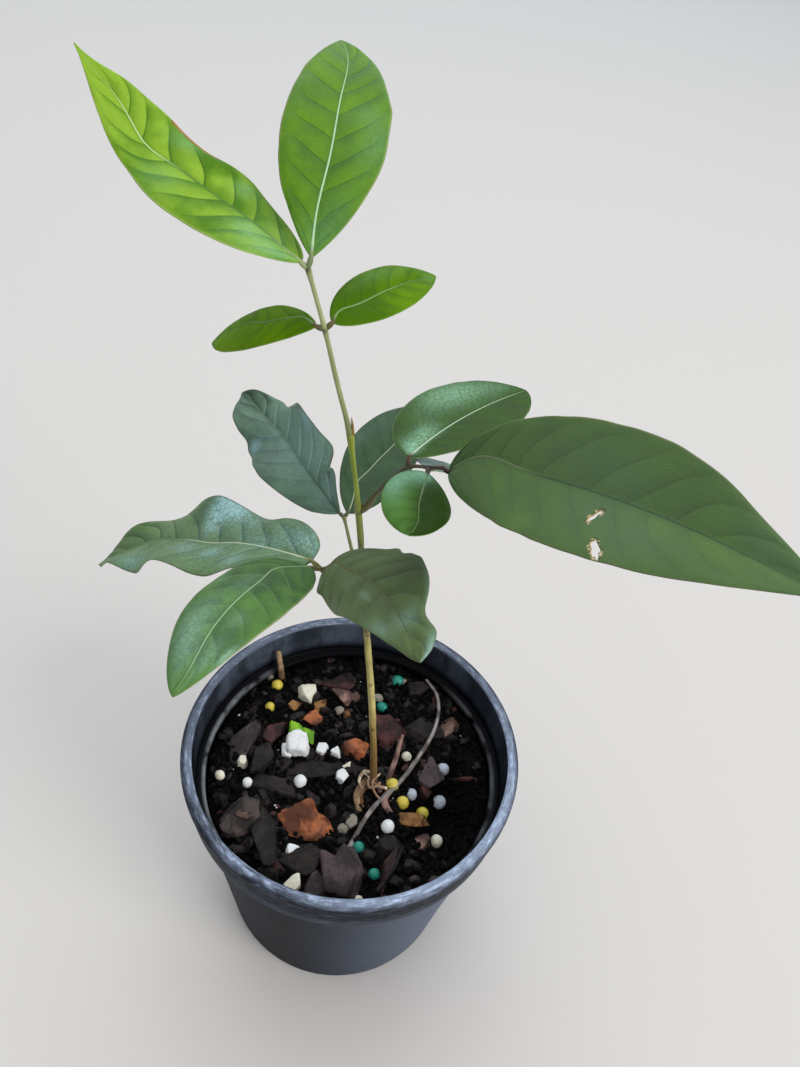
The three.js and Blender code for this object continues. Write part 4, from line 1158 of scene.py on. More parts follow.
def brokenRings(sides, blunt, seed, rows, columns):
    # a stone bounded by planes: in each direction it ends at the nearest of them. Its sides stand
    # round it at uneven angles and slants, under a slanting top, and blunt rounds all of it
    own = np.random.default_rng(seed)
    turn = (np.arange(sides) + own.uniform(-0.32, 0.32, sides)) * 2 * np.pi / sides + own.uniform(0, 6)
    slant = own.uniform(-0.25, 0.4, sides)
    wall = np.stack([np.cos(turn) * np.cos(slant), np.sin(turn) * np.cos(slant), np.sin(slant)], -1)
    caps = unit(np.array([[own.normal(0, 0.22), own.normal(0, 0.22), 1], [0, 0, -1]]))
    planes = np.concatenate([wall, caps])
    distance = np.append(own.uniform(0.68, 0.96, sides), (0.8, 0.8))
    ball = ballRings(rows, columns)
    facing = np.clip(ball @ planes.T, 0.001, None)
    reach = (distance / facing).min(-1)
    return ball * ((1 - blunt) * reach + blunt * 0.9)[..., None]


def scattered(count, sizes, flatness, kinds, bare, reach=49.0, sink=0.15):
    # copies of a few small stones, turned every way and laid on the soil, as one set of faces; those
    # that would lie within bare of the hollow's middle go to the pot's other side
    parts = []
    for kind in range(kinds):
        share = count // kinds
        points, faces = loft(brokenRings(5, 0.1, kind + 50, 4, 7) * np.array([0.5, 0.38, 0.5 * flatness]))
        distance, angle = reach * np.sqrt(random.random(share)), random.random(share) * 2 * np.pi
        x, y = distance * np.cos(angle), distance * np.sin(angle)
        sunk = np.hypot(x - soil["hollow"]["at"][0], y - soil["hollow"]["at"][1]) < bare
        x = np.where(sunk, -x, x)
        size = sizes[0] + (sizes[1] - sizes[0]) * random.random(share) ** 2
        # a turn of each stone, as a unit quaternion and its matrix
        w, i, j, k = unit(random.normal(size=(share, 4)) * np.array([1, 0.25, 0.25, 1])).T
        turn = np.stack([
            1 - 2 * (j * j + k * k), 2 * (i * j - k * w), 2 * (i * k + j * w),
            2 * (i * j + k * w), 1 - 2 * (i * i + k * k), 2 * (j * k - i * w),
            2 * (i * k - j * w), 2 * (j * k + i * w), 1 - 2 * (i * i + j * j)], -1).reshape(-1, 3, 3)
        place = np.stack([x, y, soilHeight(x, y) + size * (0.5 * flatness - sink)], -1)
        placed = np.einsum("nij,mj->nmi", turn * size[:, None, None], points) + place[:, None]
        parts += [(stone, faces) for stone in placed]
    return joined(parts)


woodTones = {
    # two colors of each kind of bark or wood, and how rough it is
    "orange": {"light": (0.42, 0.13, 0.05), "deep": (0.1, 0.028, 0.012), "rough": 0.6},
    "ochre": {"light": (0.34, 0.17, 0.055), "deep": (0.08, 0.03, 0.012), "rough": 0.6},
    "red": {"light": (0.1, 0.032, 0.032), "deep": (0.022, 0.009, 0.009), "rough": 0.65},
    "dark": {"light": (0.022, 0.015, 0.015), "deep": (0.005, 0.004, 0.004), "rough": 0.68},
    "grey": {"light": (0.07, 0.052, 0.05), "deep": (0.016, 0.012, 0.012), "rough": 0.75},
    "mauve": {"light": (0.086, 0.062, 0.07), "deep": (0.03, 0.022, 0.025), "rough": 0.75},
    "tan": {"light": (0.42, 0.29, 0.17), "deep": (0.13, 0.075, 0.035), "rough": 0.7},
    "husk": {"light": (0.86, 0.7, 0.56), "deep": (0.3, 0.19, 0.12), "rough": 0.5},
    "pink": {"light": (0.32, 0.19, 0.16), "deep": (0.08, 0.04, 0.035), "rough": 0.65},
    "silver": {"light": (0.34, 0.31, 0.3), "deep": (0.1, 0.085, 0.08), "rough": 0.6},
    "leaf": {"light": (0.24, 0.5, 0.02), "deep": (0.1, 0.28, 0.012), "rough": 0.5},
}


def fibreGroup():
    # long fibres, cracks between them and cloudy stains, on the piece's own stretched coordinates
    group, given, out = newGroup("woodFibre", {"Vector": "Vector", "Scale": "Float"},
                                 {"Fibre": "Float", "Crack": "Float", "Stain": "Float"})
    place, scale = given["Vector"], given["Scale"]
    setInputs(group, out, {
        "Fibre": noise(group, place, scale, 5.0, 0.65),
        "Crack": patches(group, place, times(group, scale, 0.4), 6.0, 0.75, 0.42, 0.36),
        "Stain": patches(group, objectPlace(group), 160.0, 3.0, 0.5, 0.35, 0.65)})
    return group


woodFibre = fibreGroup()


def woodMaterial(name, tone):
    material, tree, shader = newMaterial(name, gloss=0.3)
    wood = useGroup(tree, woodFibre, Vector=objectPlace(tree, (1, 0.35, 1.6)), Scale=620.0)
    shade = scaled(tree, wood["Fibre"], 0.9, scaled(tree, wood["Stain"], 0.6, -0.3))
    brown = mixColor(tree, smoothStep(tree, shade, 0.2, 0.8), tone["deep"], tone["light"])
    setInputs(tree, shader, {
        "Base Color": mixColor(tree, times(tree, wood["Crack"], 0.7), brown, tone["deep"]),
        "Roughness": scaled(tree, wood["Fibre"], 0.3, tone["rough"] - 0.15),
        "Normal": bump(tree, wood["Fibre"], 0.5, 0.0003, bump(tree, wood["Crack"], 0.5, -0.0003))})
    return material


def soilMaterial(name, dark, light, rough):
    # light patches on dark, and dark alone deeper down, a painted shade in the hollow and along the
    # wall: the heights are in metres
    material, tree, shader = newMaterial(name, rough, 0.12)
    place = objectPlace(tree)
    shown = times(tree, patches(tree, place, 420.0, 5.0, 0.7, 0.45, 0.72),
                  smoothStep(tree, axes(tree, place)[2], 0.071, 0.0755))
    setInputs(tree, shader, {
        "Base Color": mixColor(tree, shown, dark, light),
        "Normal": bump(tree, noise(tree, place, 1100.0, 4.0, 0.7), 0.8, 0.0004)})
    return material


def grainMaterial(name, light, deep, rough, scale=900.0):
    # a pitted mineral or coated grain
    material, tree, shader = newMaterial(name, rough)
    place = objectPlace(tree)
    pits = smoothStep(tree, addNode(tree, "TexVoronoi", {"Vector": place, "Scale": scale}), 0.0, 0.5)
    stain = times(tree, patches(tree, place, 300.0, 3.0, 0.5, 0.5, 0.75), 0.4)
    setInputs(tree, shader, {"Base Color": mixColor(tree, stain, light, deep),
                             "Normal": bump(tree, pits, 0.3, 0.0003)})
    return material


woods = {name: woodMaterial(name + "Bark", tone) for name, tone in woodTones.items()}
blackSoil = soilMaterial("blackSoil", (0.0012, 0.0011, 0.0013), (0.009, 0.0075, 0.0075), 0.85)
brownSoil = soilMaterial("brownSoil", (0.003, 0.002, 0.002), (0.022, 0.014, 0.013), 0.8)
grainFinish = {
    "white": grainMaterial("perliteWhite", (0.86, 0.88, 0.9), (0.6, 0.6, 0.62), 0.85),
    "cream": grainMaterial("perliteCream", (0.8, 0.77, 0.64), (0.5, 0.44, 0.32), 0.85),
    "cool": grainMaterial("perliteCool", (0.52, 0.57, 0.68), (0.3, 0.32, 0.4), 0.85),
    "stone": grainMaterial("stoneGrey", (0.26, 0.23, 0.19), (0.12, 0.1, 0.08), 0.8),
    "yellow": grainMaterial("yellowCoat", (0.66, 0.54, 0.07), (0.3, 0.22, 0.02), 0.4, 500.0),
    "teal": grainMaterial("tealCoat", (0.012, 0.27, 0.2), (0.004, 0.1, 0.08), 0.4, 500.0),
}

addSoilBed(blackSoil)
# how many, smallest and largest size, height as a share of it, and how far round the hollow's
# middle none lies
for name, count, sizes, flatness, bare, material in (
        ("soil_crumbs", 1900, (1.0, 3.4), 0.8, 0, blackSoil),
        ("soil_crumbs_brown", 500, (0.9, 3.0), 0.7, 16, brownSoil),
        ("bark_bits_dark", 260, (2.6, 7.5), 0.4, 12, woods["dark"]),
        ("bark_bits_red", 48, (1.8, 5), 0.4, 20, woods["red"]),
        ("bark_bits_grey", 30, (2.2, 5), 0.4, 20, woods["grey"]),
        ("bark_bits_orange", 8, (1.2, 2.6), 0.45, 20, woods["orange"]),
        ("perlite_specks", 40, (0.5, 1.4), 0.8, 20, grainFinish["white"])):
    points, faces = scattered(count, sizes, flatness, 6 if count > 40 else 2, bare)
    addPiece(name, points, faces, [material], slot="potting_mix", rounded=False)


def chipAt(at, size, turn, sides, tone, **more):
    # more is tilt, lean, height above the soil, or notches as (direction, reach, depth)
    return {"at": at, "size": size, "turn": turn, "sides": sides, "tone": tone, **more}


def grainAt(at, size, finish="white", **more):
    # more is the number of sides, which round beads don't have, or the turn
    return {"at": at, "size": size, "finish": finish, **more}


# what shows on top. Names that end in worn, pitted or bark take the place of the source's piece
# with the same start
chips = {
    "bark_chip_1_worn": chipAt((-12.1, -23.5), (15.5, 10.5, 5), -12, 5, "orange", lean=12,
                               notches=[(75, 16, 0.25)]),
    "bark_chip_2_worn": chipAt((-34, -26), (12.5, 11.5, 6), 30, 6, "grey", tilt=8),
    # a pale pink chip on the grey one, where its top catches the light: a painted highlight as a piece
    "chip_spot_left": chipAt((-32.9, -23.8), (5.5, 4.2, 2.4), 35, 5, "pink", above=3.0, tilt=10),
    "bark_chip_3_worn": chipAt((-38.6, 4.2), (7.5, 17, 3.5), -18, 5, "mauve", lean=18),
    "bark_chip_4_worn": chipAt((0.4, -40.2), (11.5, 14.5, 6), 12, 5, "mauve", tilt=-10, lean=8,
                               notches=[(95, 22, 0.4)]),
    "bark_chip_5_worn": chipAt((11.4, 15.6), (10, 12.5, 4.5), -15, 5, "red", lean=14),
    "bark_chip_6_worn": chipAt((-7.5, 34.4), (11, 5.5, 3.4), 5, 4, "red"),
    "bark_chip_7_worn": chipAt((20.8, -16.8), (14, 4.6, 3.2), 2, 4, "ochre", lean=20),
    "chip_mauve_front": chipAt((-6.4, -43.8), (6, 10, 4), 14, 4, "mauve"),
    "chip_orange_stem": chipAt((1.2, 7.0), (9, 7, 3.6), 4, 5, "orange", lean=8),
    "chip_pink_back": chipAt((-3.9, 29.4), (7.5, 5, 3.4), 6, 4, "pink"),
    "chip_tan_back": chipAt((-15.0, 17.2), (5.5, 4.5, 3), 20, 4, "orange"),
    "chip_ochre_back": chipAt((-14.0, 23.3), (4, 4, 3), 50, 5, "ochre"),
    "chip_ochre_far": chipAt((-24.0, 22.6), (4, 3.4, 2.6), 10, 4, "ochre"),
    "chip_ochre_near": chipAt((-4.1, 22.0), (3, 3, 2.4), 50, 5, "ochre"),
    "chip_brown_right": chipAt((27.1, -22.9), (6.5, 6, 4), 25, 5, "pink"),
    "chip_red_right": chipAt((27.7, -4.8), (4.6, 4.2, 3), 60, 5, "red"),
    "chip_tan_right": chipAt((34.7, 20.2), (4.4, 10, 3), -18, 4, "pink", tilt=20),
    "chip_sliver_right": chipAt((43.1, 2.9), (5.5, 1.8, 1.5), 10, 4, "red"),
    "chip_long_left": chipAt((-25.8, -10.6), (17, 6, 3.4), -12, 4, "dark"),
    "chip_slab_left": chipAt((-25.5, -29.0), (8, 22, 4), 22, 5, "dark", tilt=14),
    "chip_strip_front": chipAt((-22.6, -36.2), (15, 3.6, 3), -42, 4, "red", lean=25),
    "chip_slab_front": chipAt((-11.5, -36.5), (13, 9, 4), 20, 5, "dark"),
    "chip_block_right": chipAt((24.8, 18.6), (11, 9, 4), 15, 4, "dark"),
    "chip_purple_right": chipAt((28.2, 0.8), (8, 8, 4), 10, 4, "mauve"),
    "chip_block_back": chipAt((22.3, 36.2), (8, 6, 4), 35, 5, "dark"),
    "chip_flat_middle": chipAt((-13.4, -2.7), (17, 6, 3), 4, 4, "dark", lean=6),
    "chip_brown_left": chipAt((-29.5, 9.5), (10, 7, 4), 55, 5, "red", lean=12),
    "chip_dark_left": chipAt((-31.5, -1.5), (7, 13, 4), -12, 5, "dark"),
    "chip_front_right": chipAt((15.5, -28), (8, 6, 3.4), 30, 5, "dark"),
    "chip_low_front": chipAt((16.5, -36.0), (3, 13, 3), -14, 4, "red"),
    "sprout_leaf_1": chipAt((-21.4, 11.2), (6.4, 4.0, 1.3), -46, 4, "leaf", above=2.2, tilt=16),
    "sprout_leaf_2": chipAt((-17.2, 9.8), (5.8, 3.8, 1.3), -34, 4, "leaf", above=2.6, tilt=10),
}
grains = {
    "perlite_1_pitted": grainAt((-20.0, 4.2), (8.6, 8.4, 8.6), sides=5, turn=60),
    "perlite_2_pitted": grainAt((-19.5, 29.0), (7.0, 7.4, 6), "cream", sides=5),
    "perlite_3_pitted": grainAt((-10.7, 5.2), (5.2, 4.8, 4.4), sides=6),
    "perlite_4_pitted": grainAt((-16.8, -8.1), (5, 4.6, 4.4)),
    "perlite_5_pitted": grainAt((33.7, 4.9), (4.6, 4.6, 4.4), "cool"),
    "perlite_6_pitted": grainAt((-13.3, -45), (6.4, 4.8, 4.4), "cream", sides=6),
    "grain_lobe": grainAt((-23.0, 1.6), (4.0, 4.2, 4.4), sides=6),
    "grain_twin": grainAt((-5.8, 4.2), (3.8, 3.6, 3.4), sides=6),
    "grain_middle": grainAt((-2.6, -5.4), (4.4, 5.4, 4.2), sides=5),
    "grain_middle_small": grainAt((-1.0, -0.8), (3.6, 3.2, 2.8), "cream", sides=5),
    "grain_left": grainAt((-34.5, -11.2), (3.6, 3.4, 3.2)),
    "grain_left_wall": grainAt((-44.4, -9.7), (3.6, 3.4, 3.2), "cream"),
    "grain_left_up": grainAt((-37.9, -3.7), (4.0, 3.8, 3.2), "cream", sides=6),
    "grain_front": grainAt((-15, -33.6), (4.6, 4.6, 4), sides=6),
    "grain_front_right": grainAt((14.9, -22.3), (4.6, 4.6, 4.2)),
    "grain_right_low": grainAt((32.7, -20.3), (4.8, 4.8, 4.3), "cream"),
    "grain_right": grainAt((33.0, -6.5), (5, 4.8, 4.4), "cool"),
    "grain_beads": grainAt((22.6, -7.0), (4.2, 4.0, 4.4), "cool"),
    "grain_twig": grainAt((19.8, 6.6), (3.8, 3.8, 3.4), "cream"),
    "grain_rim": grainAt((7.5, -46.5), (3.4, 2.6, 2.6), "cream"),
    "grain_pink": grainAt((16.8, 39.6), (3, 2.8, 2.6), "stone"),
    "grain_pink_2": grainAt((7.3, 31.0), (3.4, 4.2, 3), "stone", sides=5),
    "grain_grey": grainAt((-6.9, 22.9), (3.8, 4, 3), "stone"),
    "grain_stick": grainAt((-35.2, 35.6), (2.8, 3, 2.8), "stone"),
    "grain_stone": grainAt((2.6, -21.4), (5, 4.6, 3.6), "stone", sides=6),
    "grain_stone_left": grainAt((0.0, -24.0), (3.4, 4, 3), "stone", sides=6),
    "bead_yellow_1": grainAt((-31.7, 30.8), (4.4, 4.4, 4.2), "yellow"),
    "bead_yellow_2": grainAt((-32.7, 21.4), (3.8, 3.8, 3.6), "yellow"),
    "bead_yellow_3": grainAt((15.4, -6.4), (4.6, 4.5, 4.3), "yellow"),
    "bead_yellow_4": grainAt((19.5, -11.8), (4.6, 4.5, 4.3), "yellow"),
    "bead_yellow_5": grainAt((27.1, -11.9), (4.6, 4.6, 4.3), "yellow"),
    "bead_teal_1": grainAt((14.2, 39.3), (4.4, 4.2, 4.8), "teal"),
    "bead_teal_2": grainAt((9.2, 27.4), (3.8, 4.4, 3.6), "teal"),
    "bead_teal_3": grainAt((5.9, -29.9), (3.8, 3.8, 3.6), "teal"),
    "bead_teal_4": grainAt((11.8, -38.7), (3.8, 3.8, 3.6), "teal"),
}

# grid: rows and columns of points. half: the reach as a share of the size. raised: how far the
# middle lies above the soil, as a share of the height
chipBuild = {
    "grid": (30, 60), "half": 0.56, "blunt": 0.08, "raised": 0.3,
    "ridges": 0.2, "layers": 0.3, "ragged": 0.06,
}
grainBuild = {
    "broken": {"grid": (24, 40), "half": 0.52, "pits": 0.05},
    "round": {"grid": (18, 28), "half": 0.5, "pits": 0.04},
    "blunt": 0.25, "raised": 0.33,
}


def stoodFor(name):
    # the source's piece that a piece takes the place of, from its name
    start, ending = name.rsplit("_", 1)
    return [start] if ending in ("worn", "pitted", "bark") else []


def onSoil(place, above):
    x, y = place
    return np.array([x, y, float(soilHeight(np.array(x), np.array(y))) + above])


def chipPoints(chip, seed):
    # a broken stone, flat enough to be a chip, with its faces split into layers and long ridges
    rings = brokenRings(chip["sides"], chipBuild["blunt"], seed, *chipBuild["grid"])
    for direction, reach, depth in chip.get("notches", []):
        angle = np.degrees(np.arctan2(rings[..., 1], rings[..., 0]))
        away = (angle - direction + 180) % 360 - 180
        rings = rings * (1 - depth * bell(away, 0, reach)[..., None] * np.array([1, 1, 0]))
    rings = rings * np.array(chip["size"]) * chipBuild["half"]
    x, y, z = rings[..., 0], rings[..., 1], rings[..., 2]
    lengthwise, crosswise = (x, y) if chip["size"][0] > chip["size"][1] else (y, x)
    ridge = flatNoise(lengthwise / 9 + seed, crosswise / 1.3, 1, 3, seed)
    layer = np.round(flatNoise(x / 5, y / 5 + seed, 1, 1, seed + 1) * 2.5) / 2.5
    relief = np.sign(z) * (chipBuild["ridges"] * ridge + chipBuild["layers"] * layer)
    rings = rings + np.stack([0 * x, 0 * y, relief], -1)
    ragged = 1 + chipBuild["ragged"] * roughNoise(rings / 1.4 + seed, 2, seed)
    return rings * ragged[..., None]


def addChips():
    for seed, (name, chip) in enumerate(chips.items()):
        turn = turnedBy(chip["turn"], chip.get("tilt", 0), chip.get("lean", 0))
        rest = onSoil(chip["at"], chip["size"][2] * chipBuild["raised"] + chip.get("above", 0))
        addPiece(name, *loft(chipPoints(chip, seed + 5) @ turn.T + rest), [woods[chip["tone"]]],
                 stoodFor(name), "bark")


def addGrains():
    for seed, (name, grain) in enumerate(grains.items()):
        broken = "sides" in grain
        build = grainBuild["broken" if broken else "round"]
        if broken:
            rings = brokenRings(grain["sides"], grainBuild["blunt"], seed + 3, *build["grid"])
        else:
            rings = ballRings(*build["grid"])
        rings = rings * np.array(grain["size"]) * build["half"]
        pitted = 1 + build["pits"] * roughNoise(rings * 0.7 + seed, 2, seed)
        # each lies a different way round
        turn = turnedBy(grain.get("turn", seed * 47), 0 if broken else seed * 31)
        rest = onSoil(grain["at"], grain["size"][2] * grainBuild["raised"])
        addPiece(name, *loft(rings * pitted[..., None] @ turn.T + rest), [grainFinish[grain["finish"]]],
                 stoodFor(name), "perlite")


addChips()
addGrains()
print("soil ready")


# Twigs, fibres and husks: tubes along paths, some of them flattened

twigBuild = {"steps": 90, "sides": 18}


def twigAlong(path, radius, tone, flat=1.0):
    # radius is (start, end)
    return {"path": path, "radius": radius, "tone": tone, "flat": flat}


twigs = {
    "dry_twig_bark": twigAlong([(13.6, -5.2, 76.4), (15.6, 3, 77.6), (17.4, 12, 81)], (1.1, 0.75),
                               "pink"),
    "leaning_stick_bark": twigAlong([(-30.6, 35.2, 75.6), (-31.7, 37.3, 81.4), (-32.7, 39, 86.6)],
                                    (1.25, 0.9), "tan"),
    "dry_needle_bark": twigAlong([(25.6, 41.6, 76.8), (29.6, 34, 78.6), (30.6, 25, 79.4),
                                 (28.6, 15, 79.6), (23.8, 4.6, 79.4), (18.6, -4.4, 78.6),
                                 (9.1, -16.6, 78), (4.9, -25.6, 77.6), (2.6, -31.4, 76.4)],
                                 (0.55, 0.82), "silver"),
    "foot_husk_upper": twigAlong([(9.0, -6.0, 79.5), (5.6, -8.0, 80), (3.4, -12.5, 78.5),
                                 (4.9, -17.4, 76.4)], (1.5, 0.9), "tan", 0.4),
    "foot_husk_lower": twigAlong([(7.0, -7.5, 78.6), (4.8, -11.2, 77.6), (6.2, -15.4, 76.6)],
                                 (1.0, 0.6), "ochre", 0.5),
    "foot_curl": twigAlong([(7.6, -4.6, 80.5), (5.0, -5.4, 82.4), (3.6, -8.6, 81.4),
                           (5.2, -10.6, 79.4)], (0.7, 0.4), "husk", 0.6),
    "foot_loop": twigAlong([(10.8, -7.6, 80.0), (9.6, -9.8, 81.2), (7.4, -10.0, 80.4),
                           (6.6, -7.4, 80.8)], (0.45, 0.6), "husk"),
    "foot_thread": twigAlong([(10.6, -5.2, 81.8), (8.2, -8.4, 81.6), (9.4, -11.4, 79.8),
                             (12.0, -13.2, 78.2)], (0.4, 0.35), "husk"),
    "foot_shred": twigAlong([(4.8, -3.6, 79.6), (6.8, -6.6, 81.0), (10.0, -8.8, 80.2),
                            (13.4, -8.6, 78.6)], (0.45, 0.55), "husk", 0.6),
    "foot_tip": twigAlong([(8.6, -7.0, 78.5), (10.2, -8.6, 79.2), (11.4, -10.0, 78)], (1.1, 0.8),
                          "pink"),
    "foot_peel": twigAlong([(14.4, -9.0, 77.6), (12.9, -13.0, 78), (16.1, -17.6, 77)], (1.3, 1.0),
                           "pink", 0.5),
    "strip_dark": twigAlong([(13, -44, 76), (18, -36, 77), (20.5, -28, 76.6)], (0.9, 0.6), "dark"),
}


def addTwigs():
    angle, share = roundAngles(twigBuild["sides"]), np.linspace(0, 1, twigBuild["steps"])
    for seed, (name, twig) in enumerate(twigs.items()):
        path, length = curveThrough(twig["path"], len(share))
        start, end = twig["radius"]
        relief = 1 + 0.2 * drumNoise(angle, 2.4, share[:, None] * length / 5, 3, seed, seed)
        rings = tubeRings(path, (start + (end - start) * share)[:, None] * relief, len(angle))
        rings[..., 2] = path[:, None, 2] + (rings[..., 2] - path[:, None, 2]) * twig["flat"]
        addPiece(name, *loft(rings), [woods[twig["tone"]]], stoodFor(name), "dry_wood")


fibres = {
    "count": 60, "within": 34, "length": (4, 13), "bend": 0.8, "above": 0.9, "rise": 0.5,
    "thin": 0.12, "swell": 0.14, "steps": 9, "sides": 5,
}


def addFibres(material):
    # short root hairs and shreds, each a bent tube that rises and falls with the soil
    parts, share = [], np.linspace(0, 1, fibres["steps"])
    for number in range(fibres["count"]):
        start = random.uniform(-fibres["within"], fibres["within"], 2)
        heading, bend = random.uniform(0, 2 * np.pi), random.normal(0, fibres["bend"])
        reach = random.uniform(*fibres["length"])
        way = heading + bend * share
        x = start[0] + np.cumsum(np.cos(way)) * reach / fibres["steps"]
        y = start[1] + np.cumsum(np.sin(way)) * reach / fibres["steps"]
        height = soilHeight(x, y) + fibres["above"] + fibres["rise"] * np.sin(3 * share + number)
        radius = fibres["thin"] + fibres["swell"] * random.random() * (1 - share)
        parts.append(loft(tubeRings(np.stack([x, y, height], -1), radius, fibres["sides"])))
    addPiece("root_fibres", *joined(parts), [material], slot="dry_wood")


addTwigs()
addFibres(woods["dark"])
print("twigs ready")


# Stem and stalks: tubes with bark relief, swollen where they join

stemFoot, stemNode, stemTop = (8.9, -6.4, 73.6), (-2.5, -6.4, 174.5), (-9.3, -6.4, 223.6)
limbs = {
    # path, profile as (share, radius), relief as a share of the radius, sides, steps, finish, slot, and
    # dark scars as (place, reach)
    "stem_bark": {
        "stands": "stem", "slot": "stem_bark", "finish": "stem", "sides": 36, "steps": 520,
        "relief": 0.1,
        "path": [stemFoot, (7.5, -6.2, 91.6), (4, -5.9, 124.7), (0.3, -6.2, 152.8), stemNode,
                 (-5.5, -6.6, 199.7), stemTop],
        "profile": [(0, 1.9), (0.02, 1.65), (0.06, 1.3), (0.1, 1.19), (0.2, 1.1), (0.34, 1.09),
                    (0.44, 0.97), (0.62, 0.9), (0.655, 1.0), (0.673, 1.2), (0.688, 0.95), (0.7, 0.83),
                    (0.78, 0.77), (0.84, 0.82), (0.855, 1.0), (0.872, 0.7), (0.914, 0.64), (0.96, 0.63),
                    (0.98, 0.75), (1, 0.9)],
        "scars": [((-4.3, -7.0, 190.6), 0.75), ((-3.6, -7.2, 189.4), 0.5), ((-5.0, -7.2, 191.8), 0.5),
                  ((-2.5, -7.4, 173.2), 1.1), ((-5.7, -7, 201.0), 0.7), ((-0.4, -7.3, 157.4), 1.0),
                  ((0.4, -7.3, 155.8), 0.9), ((-0.8, -7.3, 155.2), 0.6), ((3.0, -7.0, 133.0), 0.7),
                  ((5.6, -7.2, 110), 0.8)]},
    "stem_bud_scales": {
        "stands": "stem_bud", "slot": "red_stalk", "finish": "bud", "sides": 14, "steps": 40,
        "relief": 0.12,
        "path": [(-8.7, -6.4, 223.6), (-9.0, -6.4, 226), (-9.35, -6.4, 228.1)],
        "profile": [(0, 0.42), (0.2, 0.32), (0.6, 0.27), (1, 0.1)]},
    "stalk_top_skin": {
        "stands": "stalk_top", "slot": "green_stalk", "finish": "green", "sides": 20, "steps": 180,
        "relief": 0.05,
        "path": [(-9.2, -6.4, 222.6), (-10.3, -6.4, 227), (-13.2, -6.4, 237.1), forks["upper"],
                 forks["top"]],
        "profile": [(0, 0.8), (0.05, 0.75), (0.14, 0.6), (0.4, 0.56), (0.62, 0.5), (0.68, 0.68),
                    (0.74, 0.48), (0.93, 0.46), (1, 0.66)],
        "scars": [((-16.3, -7, 248.8), 0.6), ((-20.2, -7, 261.4), 0.6)]},
    "stalk_right_skin": {
        "stands": "stalk_right", "slot": "red_stalk", "finish": "red", "sides": 20, "steps": 160,
        "relief": 0.08,
        "path": [(-5.7, -6.6, 201.0), (-3.9, -6.6, 203.0), (-1.8, -6.7, 207.6), forks["right1"],
                 forks["right2"], forks["right3"]],
        "profile": [(0, 0.9), (0.08, 1.0), (0.15, 0.8), (0.25, 0.55), (0.52, 0.46), (0.58, 0.62),
                    (0.64, 0.45), (0.78, 0.4), (0.83, 0.56), (0.88, 0.4), (1, 0.55)]},
    "stalk_back_skin": {
        "stands": "stalk_back", "slot": "green_stalk", "finish": "green", "sides": 20, "steps": 90,
        "relief": 0.05,
        "path": [(-2.7, -6.0, 174.8), (-3.6, -4.2, 176.0), (-6.2, -0.6, 180.2), forks["back"]],
        "profile": [(0, 0.9), (0.14, 0.8), (0.3, 0.5), (0.88, 0.43), (1, 0.65)]},
    "stalk_front_skin": {
        "stands": "stalk_front", "slot": "red_stalk", "finish": "front", "sides": 20, "steps": 90,
        "relief": 0.05,
        "path": [(-2.7, -6.9, 174.9), (-3.4, -8.6, 176.5), (-8, -16.6, 187.4), forks["front"]],
        "profile": [(0, 0.9), (0.1, 0.8), (0.22, 0.5), (0.88, 0.45), (1, 0.7)]},
}
limbTones = {
    # colors from foot to tip, as stops along the height in millimetres
    # the stem's pale stop at 0.34 is partly the bark's yellow and partly a painted highlight, which also
    # lightens the shadow a leaflet casts there
    "stem": {"from": 75, "to": 224, "stops": [
        (0.0, (0.14, 0.065, 0.055)), (0.07, (0.18, 0.1, 0.035)), (0.2, (0.32, 0.2, 0.055)),
        (0.34, (0.6, 0.52, 0.2)), (0.48, (0.42, 0.38, 0.12)), (0.64, (0.12, 0.11, 0.022)),
        (0.72, (0.06, 0.085, 0.008)), (0.85, (0.16, 0.22, 0.02)), (1.0, (0.3, 0.4, 0.035))],
        "shade": (0.09, 0.06, 0.018), "rough": 0.45, "pores": 0.15},
    "green": {"from": 176, "to": 262, "stops": [
        (0.0, (0.16, 0.17, 0.06)), (0.5, (0.2, 0.22, 0.07)), (0.62, (0.33, 0.38, 0.16)),
        (1.0, (0.36, 0.42, 0.19))],
        "shade": (0.13, 0.12, 0.04), "rough": 0.42, "pores": 0.15},
    "red": {"from": 202, "to": 226, "stops": [
        (0.0, (0.09, 0.08, 0.02)), (0.3, (0.06, 0.065, 0.025)), (0.7, (0.05, 0.05, 0.02)),
        (1.0, (0.07, 0.03, 0.018))],
        "shade": (0.03, 0.018, 0.012), "rough": 0.45, "pores": 0.1},
    "front": {"from": 176, "to": 197, "stops": [(0.0, (0.11, 0.1, 0.03)), (1.0, (0.17, 0.13, 0.06))],
              "shade": (0.05, 0.03, 0.015), "rough": 0.45, "pores": 0.2},
    "bud": {"from": 223, "to": 229, "stops": [(0.0, (0.34, 0.22, 0.06)), (1.0, (0.3, 0.13, 0.04))],
            "shade": (0.06, 0.03, 0.015), "rough": 0.55, "pores": 0.0},
}
skinMarks = {"pore": (0.42, 0.34, 0.2), "scar": (0.05, 0.028, 0.014)}


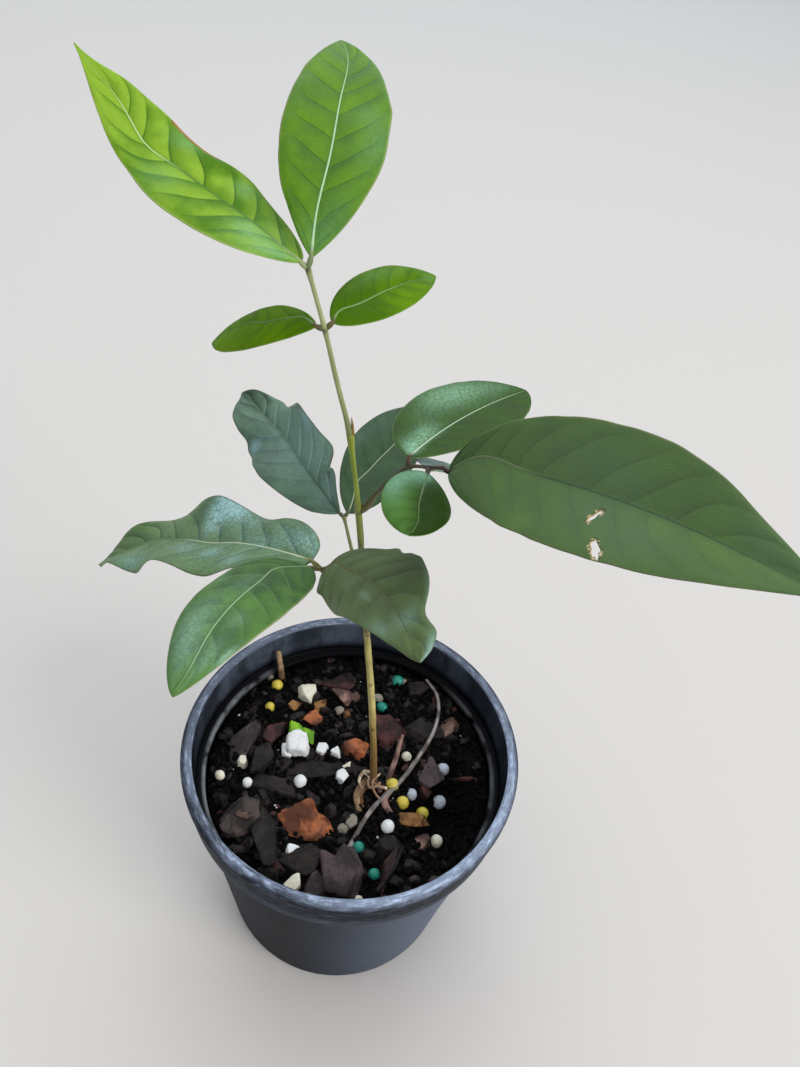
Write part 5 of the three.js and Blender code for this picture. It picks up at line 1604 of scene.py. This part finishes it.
def limbMaterial(name, tone):
    # the color follows the height, with fibres, stains and pale pores over it, and dark scars
    material, tree, shader = newMaterial(name + "Skin", tone["rough"])
    height = axes(tree, objectPlace(tree))[2]
    share = addNode(tree, "MapRange", {0: height, 1: tone["from"] * mm, 2: tone["to"] * mm})
    ramp = tree.nodes.new("ShaderNodeValToRGB")
    setInputs(tree, ramp.inputs, {0: share})
    stops = ramp.color_ramp.elements
    for number, (place, shade) in enumerate(tone["stops"]):
        stop = stops[number] if number < 2 else stops.new(place)
        stop.position = place
        stop.color = (*shade, 1.0)
    wood = useGroup(tree, woodFibre, Vector=objectPlace(tree, (1, 1, 0.12)), Scale=1500.0)
    skin = mixColor(tree, times(tree, wood["Crack"], 0.45), ramp.outputs[0], tone["shade"])
    skin = mixColor(tree, times(tree, wood["Stain"], 0.3), skin, tone["shade"])
    pores = addNode(tree, "TexVoronoi", {"Vector": objectPlace(tree, (1, 1, 0.5)), "Scale": 900.0})
    pore = smoothStep(tree, pores, 0.16, 0.06)
    skin = mixColor(tree, times(tree, pore, tone["pores"]), skin, skinMarks["pore"])
    setInputs(tree, shader, {
        "Base Color": mixColor(tree, times(tree, attribute(tree, "scar"), 0.85), skin, skinMarks["scar"]),
        "Normal": bump(tree, wood["Fibre"], 0.35, 0.0002, bump(tree, pore, 0.4, 0.0001))})
    return material


def addLimbs():
    finishes = {name: limbMaterial(name, tone) for name, tone in limbTones.items()}
    for seed, (name, limb) in enumerate(limbs.items()):
        path, length = curveThrough(limb["path"], limb["steps"])
        share, angle = np.linspace(0, 1, limb["steps"]), roundAngles(limb["sides"])
        radius = np.interp(share, *np.array(limb["profile"]).T)
        height = share[:, None] * length
        # small bumps, and long ridges over them
        relief = drumNoise(angle, 1.8, height / 6, 3, seed) \
            + 0.6 * drumNoise(angle, 5, height / 30, 1, seed + 9)
        relief = 1 + limb["relief"] * relief
        points, faces = loft(tubeRings(path, radius[:, None] * relief, limb["sides"]))
        scar = np.zeros(len(points))
        for place, reach in limb.get("scars", []):
            scar = np.maximum(scar, bell(np.linalg.norm(points - np.array(place), axis=1), 0, reach))
        addPiece(name, points, faces, [finishes[limb["finish"]]], [limb["stands"]], limb["slot"],
                 masks={"scar": scar})


addLimbs()
print("stem and stalks ready")
